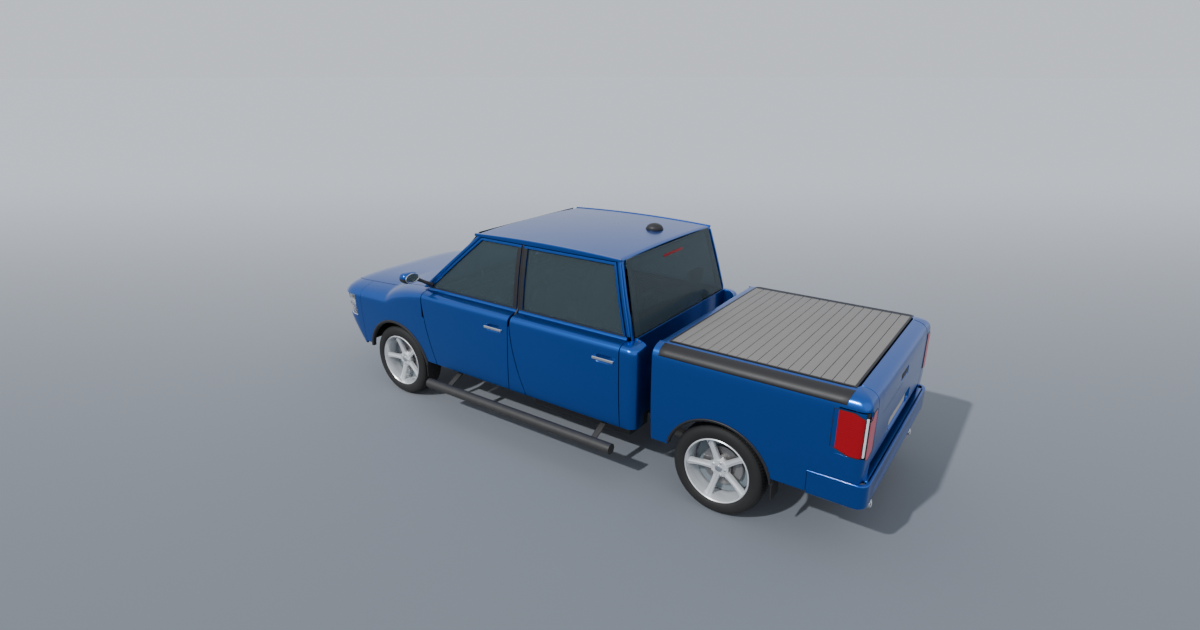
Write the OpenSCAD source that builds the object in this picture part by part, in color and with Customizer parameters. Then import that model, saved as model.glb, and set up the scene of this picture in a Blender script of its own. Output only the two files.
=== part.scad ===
// A crew-cab pickup truck, in millimetres.
// +X is forward, +Y is the truck's left and +Z is up. The origin is on the ground, in the middle of the footprint.

/* [Overall] */
// Length from the back of the rear bumper to the nose
length = 5940; // [5920:10:5960]
// Distance between the axles
wheelbase = 3800; // [3790:5:3810]
// From the rear axle to the back of the rear bumper
rear_overhang = 1140; // [1130:5:1150]
// Half of the body's width, without flares, steps and mirrors
half_width = 1010; // [1000:5:1020]

/* [Wheels] */
// Outer radius of a tyre
tyre_radius = 395; // [385:5:400]
// Width of a tyre
tyre_width = 262; // [240:2:266]
// Radius of a rim at its outer lip
rim_radius = 284; // [270:2:290]
// Middle plane of a tyre, from the truck's middle
track_half = 852; // [848:1:856]
// Radius of the wheel openings in the body
arch_radius = 455; // [452:1:460]

/* [Body] */
// Height of the lower edge of the doors
sill = 505; // [500:5:510]
// Height of the body's widest line
waist = 995; // [985:5:1005]
// Height of the shoulder under the side windows
shoulder = 1282; // [1275:1:1290]
// Height of the top of the bed's walls
rail_top = 1362; // [1355:1:1370]
// Height of the roof's middle
roof_top = 1968; // [1960:1:1975]
// Length of the rounded nose in front of the straight sides
nose_length = 450; // [430:5:470]
// Height of the bonnet's front edge
nose_top = 1184; // [1170:2:1200]
// Gap between two body panels
panel_gap = 8; // [6:1:9]
// Thickness of a door's lower part
door_depth = 105; // [95:5:110]

/* [Hidden] */

// Stations along the truck
rear_x = -length / 2;
front_x = length / 2;
rear_axle_x = rear_x + rear_overhang;
front_axle_x = rear_axle_x + wheelbase;
brow_z = 1040;
nose_x = front_x - nose_length * crown_scale(brow_z, nose_top, 3);
bed_rear_x = rear_x + 45;
bed_front_x = rear_axle_x + 595;
cab_rear_x = rear_axle_x + 739;
rear_door_x = rear_axle_x + 915;
door_split_x = rear_axle_x + 2134;
front_door_x = rear_axle_x + 3333;
hub_z = tyre_radius;

// Shape of the body's outer surface
nose_power = 4.24;
nose_tuck = 0.78;
sill_tuck = 22;
bed_power = 10;
bed_corner = 68;
cab_corner = 90;

// Side windows: height and half width at the belt and at the roof
belt_z = 1306;
belt_y = 880;
eaves_z = 1906;
eaves_y = 820;
glass_top_z = 1884;
frame_depth = 44;

blue = [0.03, 0.22, 0.52];
black = [0.08, 0.08, 0.09];
steel = [0.55, 0.57, 0.6];
tint = [0.2, 0.27, 0.28, 0.6];
red = [0.7, 0.05, 0.08];

function lerp(a, b, t) = a + (b - a) * t;
function steps(a, b, n) = [for (i = [0:n]) lerp(a, b, i / n)];

// A wall between two grids of points, outer and inner, of the same size. Cells that keep says false for are open.
// Seen from outside, the second index of a point runs up and the first runs to the right.
module panel(outer, inner, keep) {
    rows = len(outer);
    cols = len(outer[0]);
    back = rows * cols;
    function id(i, j) = i * cols + j;
    function cell(i, j) = i >= 0 && j >= 0 && i < rows - 1 && j < cols - 1 && (keep == undef || keep[i][j]);
    function quad(a, b, c, d) = [[a, b, c], [a, c, d]];
    function wall(p, q) = quad(q, p, p + back, q + back);
    faces = [for (i = [0:rows - 2], j = [0:cols - 2]) if (cell(i, j)) each concat(
        quad(id(i, j), id(i + 1, j), id(i + 1, j + 1), id(i, j + 1)),
        quad(id(i, j) + back, id(i, j + 1) + back, id(i + 1, j + 1) + back, id(i + 1, j) + back),
        cell(i, j - 1) ? [] : wall(id(i, j), id(i + 1, j)),
        cell(i + 1, j) ? [] : wall(id(i + 1, j), id(i + 1, j + 1)),
        cell(i, j + 1) ? [] : wall(id(i + 1, j + 1), id(i, j + 1)),
        cell(i - 1, j) ? [] : wall(id(i, j + 1), id(i, j)))];
    polyhedron(concat([for (r = outer) each r], [for (r = inner) each r]), faces);
}

// Both sides of the truck, from the left one
module both() {
    children();
    mirror([0, 1, 0]) children();
}

// A box between two corners
module block(low, high) {
    translate(low) cube(high - low);
}

// A straight bar with four corners at each end, in either order round
module bar(low, high) {
    turn = cross(low[1] - low[0], low[3] - low[0]) * (high[0] - low[0]);
    one = turn > 0 ? 1 : 3;
    three = 4 - one;
    panel([[low[0], low[one]], [high[0], high[one]]], [[low[three], low[2]], [high[three], high[2]]]);
}

// A round rod between two points
module rod(a, b, r) {
    d = b - a;
    flat = norm([d[0], d[1]]);
    translate(a) rotate([0, atan2(flat, d[2]), atan2(d[1], d[0])]) cylinder(h = norm(d), r = r, $fn = 24);
}

// A cylinder along Y between two distances from the middle plane
module axle_bar(x, z, r, y0, y1, fn = 48) {
    translate([x, y1, z]) rotate([90, 0, 0]) cylinder(h = y1 - y0, r = r, $fn = fn);
}

// ---- The outer surface -------------------------------------------------------------------------------------

// Half width of the side below the waist
function flank(z) = half_width - sill_tuck * pow((waist - z) / (waist - sill), 2);
// How far the side has rounded in at height z, for a crown of a height and a power
function crown_scale(z, top, p) = z <= waist ? 1 : pow(1 - pow((z - waist) / (top - waist), p), 1 / p);
function round_off(a, p) = pow(pow(abs(cos(a)), p) + pow(abs(sin(a)), p), -1 / p);
// Top and roundness of the section at x: tight along the doors, soft over the nose
function crown_top(x) = x < front_door_x ? shoulder
    : lerp(shoulder, nose_top, (x - front_door_x) / (front_x - front_door_x));
function crown_power(x) = x < front_door_x ? 12 : max(3, 12 - 9 * (x - front_door_x) / 600);
function crown_point(x, a) = let (p = crown_power(x), r = round_off(a, p))
    [half_width * cos(a) * r, waist + (crown_top(x) - waist) * sin(a) * r];

// Half width of the glasshouse, leaning in towards the roof
function glass_y(z) = let (t = (z - belt_z) / (eaves_z - belt_z)) lerp(belt_y, eaves_y, t) + 10 * sin(180 * t);

// Edges of the doors, seen from the side: the windscreen pillar's line and the line behind the rear window
function screen_edge(z) = lerp(1514, 804, (z - belt_z) / (glass_top_z - belt_z));
function quarter_edge(z) = lerp(-897, -757, (z - belt_z) / (eaves_z - belt_z));
function front_cut(z) = z > belt_z - 15 ? screen_edge(z)
    : front_door_x - 133 * pow(max(0, (1210 - z) / 670), 1.5);
function split_front(z) = z > 1165 ? door_split_x + 20 - 0.075 * (z - 1165)
    : door_split_x + 20 + (1165 - z) * 0.054;
function split_rear(z) = z > 1165 ? door_split_x - 8 - 0.075 * (z - 1165)
    : door_split_x - 8 - 158 * pow((1165 - z) / 665, 1.6);
function rear_cut(z) = z > belt_z - 15 ? quarter_edge(z) : rear_door_x;

door_low = [sill, 560, 640, 740, 860, waist];
door_bend = [22, 34, 40, 43, 46, 48];
door_high = [belt_z - 15, belt_z, 1440, 1600, 1760, glass_top_z, eaves_z];
// The door's inner face behind the shoulder: distance from the middle, and height
door_inner = [[902, 1110], [900, 1180], [896, 1212], [888, 1228], [876, 1240], [858, 1252]];
door_rows = len(door_low) + len(door_bend) + len(door_high);
first_window_row = len(door_low) + len(door_bend) + 1;

// One point of a door's outer or inner face, at length x and row j of its section
function door_outer_point(x, j) = j < 6 ? [x, flank(door_low[j]), door_low[j]]
    : j < 12 ? [x, each crown_point(x, door_bend[j - 6])]
    : [x, glass_y(door_high[j - 12]), door_high[j - 12]];
function door_inner_point(x, j) = j < 6 ? [x, flank(door_low[j]) - door_depth, door_low[j]]
    : j < 12 ? [x, door_inner[j - 6][0], door_inner[j - 6][1]]
    : [x, glass_y(door_high[j - 12]) - frame_depth, door_high[j - 12]];
function door_row_z(j) = j < 6 ? door_low[j] : j < 12 ? door_outer_point(0, j)[2] : door_high[j - 12];

// Where the columns of a door stand between its rear edge a and its front edge b
function door_columns(a, b, leg_a, leg_b, n) = concat([a], steps(a + leg_a, b - leg_b, n), [b]);

module door(edge_a, edge_b, leg_a, leg_b) {
    n = 6;
    lap = 10;
    xs = [for (j = [0:door_rows - 1]) door_columns(edge_a[j], edge_b[j], leg_a, leg_b, n)];
    ins = [for (j = [0:door_rows - 1]) door_columns(edge_a[j] + lap, edge_b[j] - lap, leg_a - lap, leg_b - lap, n)];
    outer = [for (i = [0:n + 2]) [for (j = [0:door_rows - 1]) door_outer_point(xs[j][i], j)]];
    inner = [for (i = [0:n + 2]) [for (j = [0:door_rows - 1]) door_inner_point(ins[j][i], j)]];
    keep = [for (i = [0:n + 1]) [for (j = [0:door_rows - 2])
        i == 0 || i == n + 1 || j < first_window_row || j > door_rows - 3]];
    panel(outer, inner, keep);
}

function cut_list(f) = [for (j = [0:door_rows - 1]) f(door_row_z(j))];

module front_door() {
    color(blue) door(cut_list(function (z) split_front(z)), cut_list(function (z) front_cut(z)), 44, 36);
}

module rear_door() {
    color(blue) door(cut_list(function (z) rear_cut(z)), cut_list(function (z) split_rear(z)), 22, 44);
}

// A side window, held in the middle of its door's frame
module side_glass(edge_a, edge_b, leg_a, leg_b) {
    set_in = 16;
    thick = 6;
    zs = steps(belt_z + 1, glass_top_z - 1, 4);
    function grid(depth) = [for (t = steps(0, 1, 5)) [for (z = zs)
        [lerp(edge_a(z) + leg_a + 1, edge_b(z) - leg_b - 1, t), glass_y(z) - depth, z]]];
    color(tint) panel(grid(set_in), grid(set_in + thick));
}

module front_glass() {
    side_glass(function (z) split_front(z), function (z) front_cut(z), 44, 36);
}

module rear_glass() {
    side_glass(function (z) rear_cut(z), function (z) split_rear(z), 22, 44);
}

// ---- Front end ---------------------------------------------------------------------------------------------

function nose_reach(z) = z < waist ? nose_length * (1 - nose_tuck * pow((waist - z) / (waist - 500), 2))
    : nose_length;
// Point of the nose at angle a round from straight ahead, at height z, set in by depth
function nose_point(a, z, depth) = let (
    r = round_off(a, nose_power),
    k = crown_scale(z, crown_top(nose_x + nose_length * cos(a) * r), 3),
    side = z < waist ? flank(z) : half_width * k)
    [nose_x + (nose_reach(z) * k - depth) * cos(a) * r, (side - depth) * sin(a) * r, z];

// Height of the bonnet's dome over a point of the plan
function dome_radius(x, y) = pow(pow(max(0, x - nose_x) / nose_length, nose_power)
    + pow(abs(y) / half_width, nose_power), 1 / nose_power);
function dome_z(x, y) = let (p = crown_power(x), r = x > nose_x ? dome_radius(x, y) : abs(y) / half_width)
    waist + (crown_top(x) - waist) * pow(1 - pow(min(r, 1), p), 1 / p);

bonnet_half = 800;
bonnet_reach = nose_length * 0.92;
bonnet_rear_x = front_door_x + 107;

// The bonnet's outline in plan, as a point at angle a round from the side
function bonnet_edge(a, out) = let (r = round_off(a, nose_power))
    [nose_x + (bonnet_reach + out) * cos(a) * r, (bonnet_half + out) * sin(a) * r];

module bonnet() {
    thick = 22;
    lap = 6;
    n = 14;
    function across(w, t) = -w + 2 * w * t;
    function grid(down, set_in) = concat(
        [for (x = steps(bonnet_rear_x + set_in, nose_x, 7)) [for (t = steps(1, 0, n))
            let (y = across(bonnet_half - set_in, t)) [x, y, dome_z(x, y) - down]]],
        [for (v = [0.3, 0.55, 0.75, 0.88, 0.96]) [for (t = steps(1, 0, n))
            let (u = across(1, t), x = nose_x + (bonnet_reach - set_in) * v
                    * pow(max(0, 1 - pow(abs(u) * 0.93, nose_power)), 1 / nose_power),
                y = (bonnet_half - set_in) * u * pow(1 - pow(v, nose_power) * 0.6, 1 / nose_power))
            [x, y, dome_z(x, y) - down]]]);
    color(blue) panel(grid(0, 0), grid(thick, lap));
}

// One fender: its section runs from the wheel opening or the sill up over the shoulder to the bonnet
fender_low = 7;
function arch_low(x) = let (d = abs(x - front_axle_x))
    d < arch_radius ? max(sill, hub_z + sqrt(arch_radius * arch_radius - d * d)) : sill;
// A column of the fender, set in by depth: at x, or part t of the way from the door's edge to x
function fender_column(x, t, depth) = concat(
    [for (k = [0:fender_low]) let (z = lerp(arch_low(x), waist, k / fender_low))
        [lerp(front_cut(z) + panel_gap, x, t), flank(z) - depth, z]],
    [for (a = fender_bend(x)) let (at = lerp(front_door_x + panel_gap, x, t), c = crown_point(at, a))
        [at, c[0] - depth * cos(a), c[1] - depth * sin(a)]]);
// The section's angle where it meets the bonnet
function bonnet_angle(x) = let (p = crown_power(x), u = (bonnet_half + panel_gap) / half_width)
    atan(pow(1 - pow(u, p), 1 / p) / u);
function fender_bend(x) = [for (t = [0.3, 0.55, 0.72, 0.84, 0.93, 1]) bonnet_angle(x) * t];

module fender() {
    thick = 12;
    arch_start = front_axle_x - sqrt(arch_radius * arch_radius - pow(sill - hub_z, 2));
    arch_end = 2 * front_axle_x - arch_start;
    function grid(depth) = concat(
        [for (t = [0, 0.5]) fender_column(arch_start, t, depth)],
        [for (a = steps(0, 180, 14)) let (x = front_axle_x - (front_axle_x - arch_start) * cos(a))
            fender_column(x, 1, depth)],
        [fender_column(lerp(arch_end, nose_x, 0.6), 1, depth)]);
    panel(grid(0), grid(thick));
}

module front_fenders() {
    color(blue) both() fender();
}

nose_zs = [480, 560, 650, 730, 790, 860, 930, waist, brow_z, 1072];
nose_angles = concat([-90, -84, -78, -72, -66, -60, -54, -48, -40, -31, -20, -10, 0],
    [10, 20, 31, 40, 48, 54, 60, 66, 72, 78, 84, 90]);

// The nose's cover: bumper below, a band under the bonnet above, with openings for the grille and the lamps
module front_bumper() {
    thick = 22;
    function ring(depth, a) = concat([for (z = nose_zs) nose_point(a, z, depth)],
        [let (e = bonnet_edge(abs(a), panel_gap), s = a < 0 ? -1 : 1) [e[0], s * e[1],
            dome_z(e[0], e[1]) - depth]]);
    function open(i, j) = let (a = abs(nose_angles[i] + nose_angles[i + 1]) / 2)
        (j >= 4 && j <= 7 && a < 36) || (j >= 4 && j <= 7 && a > 44 && a < 81);
    color(blue) panel([for (a = nose_angles) ring(0, a)], [for (a = nose_angles) ring(thick, a)],
        [for (i = [0:len(nose_angles) - 2]) [for (j = [0:len(nose_zs) - 1]) !open(i, j)]]);
}

// A piece of the nose's surface between two angles, set in by depth
module nose_patch(a0, a1, z0, z1, depth, thick) {
    function grid(d) = [for (a = steps(a0, a1, 8)) [for (z = steps(z0, z1, 6)) nose_point(a, z, d)]];
    panel(grid(depth), grid(depth + thick));
}

module grille() {
    color(black) nose_patch(-34, 34, 797, 1033, 26, 22);
}

module headlamps() {
    color([0.8, 0.85, 0.9]) both() nose_patch(43, 83, 797, 1033, 31, 55);
}

// ---- Cab ---------------------------------------------------------------------------------------------------

// Floor with its tunnel, the wall in front of the feet with the shelf under the windscreen, the hinge posts and
// the wall behind the seats
module cab_floor() {
    half = 858;
    low = 520;
    top = 560;
    tunnel = 125;
    firewall = 1330;
    wall = 40;
    rear = cab_rear_x + 130;
    color(blue) union() {
        difference() {
            block([rear, -half, low], [firewall + wall, half, top]);
            block([rear + 100, -tunnel + 20, low - 10], [firewall - 10, tunnel - 20, top + 10]);
        }
        block([rear + 90, -tunnel, top], [firewall, tunnel, 680]);
        block([firewall, -half, top], [firewall + wall, half, 1240]);
        block([firewall + wall, -780, 1180], [bonnet_rear_x - 20, 780, 1212]);
        both() block([firewall + wall, 790, top], [firewall + 130, 845, 1240]);
        block([rear, -half, top], [rear + 35, half, 1236]);
    }
}

// A slanted bar in the plane of the side windows, from z0 to z1 and from x offset a to b past an edge
module pillar(edge, z0, z1, a, b, inset, depth) {
    function corners(z) = [[edge(z) + a, glass_y(z) - inset, z], [edge(z) + b, glass_y(z) - inset, z],
        [edge(z) + b, glass_y(z) - inset - depth, z], [edge(z) + a, glass_y(z) - inset - depth, z]];
    bar(corners(z0), corners(z1));
}

module cab_frame() {
    top = eaves_z + 9;
    header = 44;
    color(blue) both() union() {
        // Windscreen pillar
        pillar(function (z) screen_edge(z), belt_z - 18, top, 9, 62, 2, 62);
        // Pillar behind the rear door
        pillar(function (z) quarter_edge(z), belt_z, top, -44, -8, 2, 60);
        // Pillar between the doors, inside the door frames
        pillar(function (z) split_rear(z), 1216, top, -50, 70, 54, 34);
        block([150, 812, 565], [330, 852, 1230]);
        roof_rail();
    }
    color(blue) block([roof_rear_x + 3, -800, top - 22], [roof_rear_x + header, 800, top]);
    color(blue) block([roof_front_x - 66, -800, top - 22], [roof_front_x - 22, 800, top]);
}

// Rail along the roof's edge, standing a little above the roof
module roof_rail() {
    low = eaves_z + 6;
    y = roof_half + 4;
    proud = 6;
    xs = steps(roof_rear_x + 2, roof_front_x - 4, 8);
    panel([for (x = xs) [[x, eaves_y, low], [x, eaves_y - 8, roof_z(x, y) + proud]]],
        [for (x = xs) [[x, y, low], [x, y, roof_z(x, y) + proud]]]);
}

// Outer skin behind the rear door, round the cab's corner and across its back
module rear_quarter() {
    thick = 14;
    rows = 12;
    tail_low = 540;
    wall_recess = 100;
    function section(j) = j < 6 ? [flank(door_low[j]), door_low[j]] : crown_point(0, door_bend[j - 6]);
    edge_x = rear_door_x - panel_gap;
    // The corner's radius shrinks where the section has rounded in, so that it ends behind the door
    function radius(s) = min(cab_corner, edge_x - 2 - cab_rear_x - half_width + s[0]);
    function down(j, depth) = j < 6 ? 0 : depth * sin(door_bend[j - 6]);
    function column(x, a, depth) = [for (j = [0:rows - 1]) let (s = section(j), r = radius(s))
        [x == undef ? cab_rear_x + half_width - s[0] + r - (r - depth) * sin(a) : x,
            s[0] - r + (r - depth) * cos(a), s[1] - down(j, depth)]];
    // The wall between the corners is set forward, under the rear window
    function back(y, depth) = [for (j = [0:rows - 1])
        [cab_rear_x + wall_recess + depth, y, lerp(tail_low, belt_z - 22, j / (rows - 1))]];
    function grid(d) = concat([for (y = [0, 400, 800]) back(y, d)], [for (a = steps(90, 0, 5)) column(undef, a, d)],
        [column(edge_x, 0, d)]);
    panel(grid(0), grid(thick));
}

// Fixed cover of the post between the doors, wider towards the sill
module door_post() {
    thick = 60;
    zs = [sill, 560, 640, 740, 860, waist, 1100, 1165];
    function y(z) = z <= waist ? flank(z) : half_width * crown_scale(z, shoulder, 12);
    function grid(d) = [for (t = [0, 1]) [for (z = zs)
        [lerp(split_rear(z) + panel_gap, split_front(z) - panel_gap, t), y(z) - d, z]]];
    panel(grid(0), grid(thick));
}

module cab_panels() {
    color(blue) both() {
        rear_quarter();
        door_post();
    }
}

roof_front_x = 868;
roof_rear_x = -802;
// Height of the roof: highest in the middle, lower towards its edges
function roof_z(x, y) = roof_top - 18 * pow(y / 800, 2) - 22 * pow((x - 40) / 840, 2);
roof_half = 786;

module roof_panel() {
    thick = 12;
    function grid(down, set_in) = [for (x = steps(roof_rear_x + set_in, roof_front_x - set_in, 10))
        [for (t = steps(1, -1, 8)) let (y = (roof_half - set_in) * t) [x, y, roof_z(x, y) - down]]];
    color(blue) panel(grid(0, 0), grid(thick, 3));
}

// Windscreen: a sheet bowed forward in the middle
function screen_x(y, t) = lerp(1596, 886, t) - lerp(66, 12, t) * pow(y / 850, 2);

module windshield() {
    function grid(d) = [for (u = steps(-1, 1, 8)) [for (t = steps(0, 1, 5))
        let (z = lerp(1262, 1936, t), y = u * lerp(800, 742, t)) [screen_x(y, t) - d, y, z]]];
    color(tint) panel(grid(0), grid(7));
}

module rear_window() {
    function grid(d) = [for (u = steps(1, -1, 6)) [for (t = steps(0, 1, 5))
        let (z = lerp(1294, 1924, t), y = u * lerp(826, 742, t)) [lerp(-968, -812, t) + d, y, z]]];
    color(tint) panel(grid(0), grid(7));
}

module roof_antenna() {
    r = 86;
    base = 12;
    dome = 46;
    x = -485;
    y = -250;
    color(black) translate([x, y, roof_z(x + r, y + r) + 0.5]) {
        cylinder(h = base, r = r, $fn = 64);
        translate([0, 0, base]) scale([1, 1, dome / r]) intersection() {
            sphere(r = r, $fn = 48);
            cylinder(h = r, r = r, $fn = 48);
        }
    }
}

// ---- Inside the cab ----------------------------------------------------------------------------------------

module dashboard() {
    color(black) difference() {
        block([1090, -800, 860], [1322, 800, 1226]);
        block([1080, -790, 850], [1240, -130, 990]);
        block([1080, 130, 850], [1240, 790, 990]);
    }
    color(black) block([760, -110, 682], [1100, 110, 905]);
}

module steering_wheel() {
    tilt = 62;
    color(black) translate([880, 400, 1080]) rotate([0, tilt, 0]) {
        rotate_extrude($fn = 64) translate([178, 0]) circle(r = 15, $fn = 24);
        for (a = [0, 120, 240]) rotate([0, 0, a + 60]) translate([40, -14, -6]) cube([126, 28, 12]);
        cylinder(h = 34, r = 58, center = true, $fn = 48);
        translate([0, 0, 10]) cylinder(h = 170, r = 24, $fn = 32);
    }
}

// A seat back with headrests, leaning back by an angle, on a cushion whose top is at z
module seat_back(x, z, y0, y1, lean, high, rests) {
    translate([x, 0, z]) rotate([0, -lean, 0]) {
        block([-110, y0, -90], [14, y1, high]);
        for (y = rests) block([-96, y - 125, high - 30], [-16, y + 125, high + 150]);
    }
}

module seats() {
    cushion_z = 860;
    color([0.2, 0.2, 0.21]) {
        for (side = [1, -1]) {
            block([380, side * 415 - 265, 600], [900, side * 415 + 265, cushion_z]);
            seat_back(425, cushion_z, side * 415 - 262, side * 415 + 262, 14, 600, [side * 415]);
        }
        block([-700, -690, 685], [-200, 690, cushion_z]);
        seat_back(-650, cushion_z, -686, 686, 12, 560, [-430, 430]);
    }
}

// ---- Bed ---------------------------------------------------------------------------------------------------

bed_bend = [15, 26, 34, 39, 42, 44.5, 46.6, 48.3];
// The bed's section: how far it is set in from its widest line, and its height
function bed_section(low) = concat([for (z = steps(low, waist, 6)) [half_width - flank(max(z, sill)), z]],
    [for (a = bed_bend) let (r = round_off(a, bed_power))
        [half_width * (1 - cos(a) * r), waist + (rail_top - waist) * sin(a) * r]]);
bed_inner = [[0, 1090], [0, 1180], [0, 1240], [0, 1275], [6, 1294], [24, 1306], [50, 1312], [90, 1316]];

// Height of the bed side's lower edge at x
function bed_low(x) = let (d = abs(x - rear_axle_x))
    d < arch_radius ? max(sill, hub_z + sqrt(arch_radius * arch_radius - d * d)) : x < rear_axle_x - 714 ? 690 : sill;

// Point of the bed's plan for a section point s: at x, or across the back at y, or round the corner at angle a
function bed_plan(x, a, y, s, r) = let (edge = half_width - s[0])
    x != undef ? [x, edge, s[1]]
    : y != undef ? [bed_rear_x + s[0], y, s[1]]
    : [bed_rear_x + s[0] + r * (1 - sin(a)), edge - r * (1 - cos(a)), s[1]];

module bed_side() {
    thick = 34;
    function column(x, a, y, low, d) = let (outer = bed_section(low)) [for (j = [0:len(outer) - 1])
        let (inner = j < 7 ? [outer[j][0] + thick, outer[j][1]] : [thick + bed_inner[j - 7][0], bed_inner[j - 7][1]])
        bed_plan(x, a, y, d == 0 ? outer[j] : inner, bed_corner - d)];
    arch_start = rear_axle_x - sqrt(arch_radius * arch_radius - pow(sill - hub_z, 2));
    arch_end = 2 * rear_axle_x - arch_start;
    step_x = rear_axle_x - 714;
    function grid(d) = concat(
        [column(undef, undef, 806, 690, d)],
        [for (a = steps(90, 0, 6)) column(undef, a, undef, 690, d)],
        [for (x = [rear_axle_x - 850, step_x - 1]) column(x, 0, undef, 690, d)],
        [column(step_x + 1, 0, undef, sill, d)],
        [for (a = steps(0, 180, 12)) let (x = rear_axle_x - (rear_axle_x - arch_start) * cos(a))
            column(x, 0, undef, bed_low(x), d)],
        [for (x = [bed_front_x - 150, bed_front_x]) column(x, 0, undef, sill, d)]);
    // The lamp's opening, from the side round the corner
    panel(grid(0), grid(thick),
        [for (i = [0:23]) [for (j = [0:13]) !(i >= 1 && i <= 7 && j >= 4 && j <= 8)]]);
}

module bed_sides() {
    color(blue) both() bed_side();
}

// A lamp that wraps round the bed's rear corner, and the brake lamp inside the rear window
module tail_lamps() {
    zs = [898, 950, 1000, 1060, 1130, 1236];
    function column(x, a, d) = [for (z = zs)
        bed_plan(x, a, undef, [half_width * (1 - crown_scale(z, rail_top, bed_power)) + d, z], bed_corner - d)];
    function grid(d) = concat([for (a = steps(84, 0, 7)) column(undef, a, d)], [column(rear_axle_x - 856, 0, d)]);
    color(red) both() panel(grid(3), grid(30));
    color(red) block([-800, -120, 1830], [-780, 120, 1850]);
}

module cargo_bed() {
    wall = 34;
    half = 836;
    floor_z = 830;
    front = bed_front_x - 6;
    rear = bed_rear_x + 76;
    color(blue) difference() {
        union() {
            block([rear, -half, floor_z - 34], [front, half, floor_z]);
            block([front - wall, -half, floor_z - 250], [front, half, 1340]);
            block([front - 76, -half, 1312], [front, half, 1350]);
            both() block([rear, half - wall, floor_z - 34], [front, half, 1310]);
            both() axle_bar(rear_axle_x, hub_z, arch_radius + 34, 640, half);
        }
        both() axle_bar(rear_axle_x, hub_z, arch_radius, 600, 1100);
        both() block([rear_axle_x - 600, 600, -200], [rear_axle_x + 600, 900, floor_z - 34]);
    }
}

module rail_caps() {
    thick = 8;
    lift = 1;
    turns = [37.5, 39.5, 41.5, 43.5, 45, 46.6];
    function ring(x, out) = [for (a = turns) let (r = round_off(a, bed_power))
        [x, (half_width + out) * cos(a) * r, waist + (rail_top - waist + out) * sin(a) * r]];
    color(black) both() panel([for (x = [-2780, -1290]) ring(x, lift + thick)], [for (x = [-2780, -1290]) ring(x, lift)]);
}

// Roll-up cover of the bed, drawn closed: a sheet with slats on it
module tonneau_cover() {
    slats = 18;
    rear = bed_rear_x + 163;
    front = bed_front_x - 85;
    half = 861;
    pitch = (front - rear) / slats;
    groove = 3;
    color([0.5, 0.5, 0.5]) {
        block([rear, -half, 1330], [front, half, 1350]);
        for (i = [0:slats - 1])
            block([rear + i * pitch + groove, 4 - half, 1349], [rear + (i + 1) * pitch - groove, half - 4, 1358]);
    }
}

module tailgate() {
    thick = 60;
    low = 775;
    ys = steps(-798, 798, 4);
    function grid(inside) = [for (y = ys) [for (j = [0:14]) let (s = bed_section(low)[j])
        !inside ? [bed_rear_x + s[0], -y, s[1]]
        : j < 7 ? [bed_rear_x + s[0] + thick, -y, s[1]]
        : [bed_rear_x + thick + bed_inner[j - 7][0] * 0.9, -y, bed_inner[j - 7][1]]]];
    color(blue) panel(grid(false), grid(true));
}

module rear_bumper() {
    thick = 30;
    zs = [480, 520, 600, 660, 680];
    corner = 70;
    back = rear_x;
    function column(x, a, y, d) = [for (z = zs) let (w = half_width - 18 - 10 * (z < 520 ? 1 : 0))
        x != undef ? [x, w - d, z] : y != undef ? [back + d, y, z]
        : [back + corner - (corner - d) * sin(a), w - corner + (corner - d) * cos(a), z]];
    half = concat([for (a = steps(90, 0, 6)) [undef, a, undef]], [[rear_axle_x - 724, 0, undef]]);
    color(blue) both() panel(concat([column(undef, 0, 0, 0)], [for (h = half) column(h[0], h[1], h[2], 0)]),
        concat([column(undef, 0, 0, thick)], [for (h = half) column(h[0], h[1], h[2], thick)]));
    color(blue) block([rear_x + 20, -880, 650], [rear_x + 100, 880, 684]);
}

// ---- Under the body ----------------------------------------------------------------------------------------

rail_y = 400;
rail_w = 70;
// Tow hitch: a square receiver of 50.8 mm and its cross pin; and the front tow eyes' holes
hitch_x = -2935;
hitch_z = 470;
hitch_inner = 25.4;
hitch_outer = 32;
hitch_pin_r = 8;
tow_eye_r = 16;

module chassis_frame() {
    difference() {
        color(black) union() {
            // Side rails, stepped up over the rear axle
            both() block([cab_rear_x - 90, rail_y, 410], [2300, rail_y + rail_w, 515]);
            both() block([rear_x + 90, rail_y, 470], [cab_rear_x - 40, rail_y + rail_w, 570]);
            for (x = [rear_x + 110, -2300, -1300]) block([x, -rail_y - 5, 480], [x + 70, rail_y + 5, 560]);
            for (x = [-300, 700, 2220]) block([x, -rail_y - 5, 472], [x + 70, rail_y + 5, 512]);
            // Receiver of the tow hitch
            block([hitch_x, -hitch_outer, hitch_z - hitch_outer], [hitch_x + 170, hitch_outer, hitch_z + hitch_outer]);
            // Front tow eyes
            for (y = [-rail_y - 50, rail_y + 20]) block([2290, y, 450], [2440, y + 30, 515]);
        }
        block([hitch_x - 10, -hitch_inner, hitch_z - hitch_inner], [hitch_x + 180, hitch_inner, hitch_z + hitch_inner]);
        axle_bar(hitch_x + 60, hitch_z, hitch_pin_r, -60, 60);
        axle_bar(2405, 485, tow_eye_r, -600, 600);
    }
}

module engine_block() {
    color(steel) {
        block([1620, -230, 470], [2160, 230, 1010]);
        block([900, -130, 370], [1620, 130, 500]);
    }
}

module side_steps() {
    tube_y = 1108;
    tube_z = 345;
    color(black) both() {
        rod([-915, tube_y, tube_z], [1366, tube_y, tube_z], 48);
        for (x = [-700, 1110]) {
            block([x - 30, rail_y + rail_w, 460], [x + 30, rail_y + rail_w + 380, 480]);
            bar([[x - 30, 840, 470], [x + 30, 840, 470], [x + 30, 840, 480], [x - 30, 840, 480]],
                [[x - 30, tube_y, tube_z - 5], [x + 30, tube_y, tube_z - 5], [x + 30, tube_y, tube_z + 10],
                [x - 30, tube_y, tube_z + 10]]);
        }
    }
}

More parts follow.
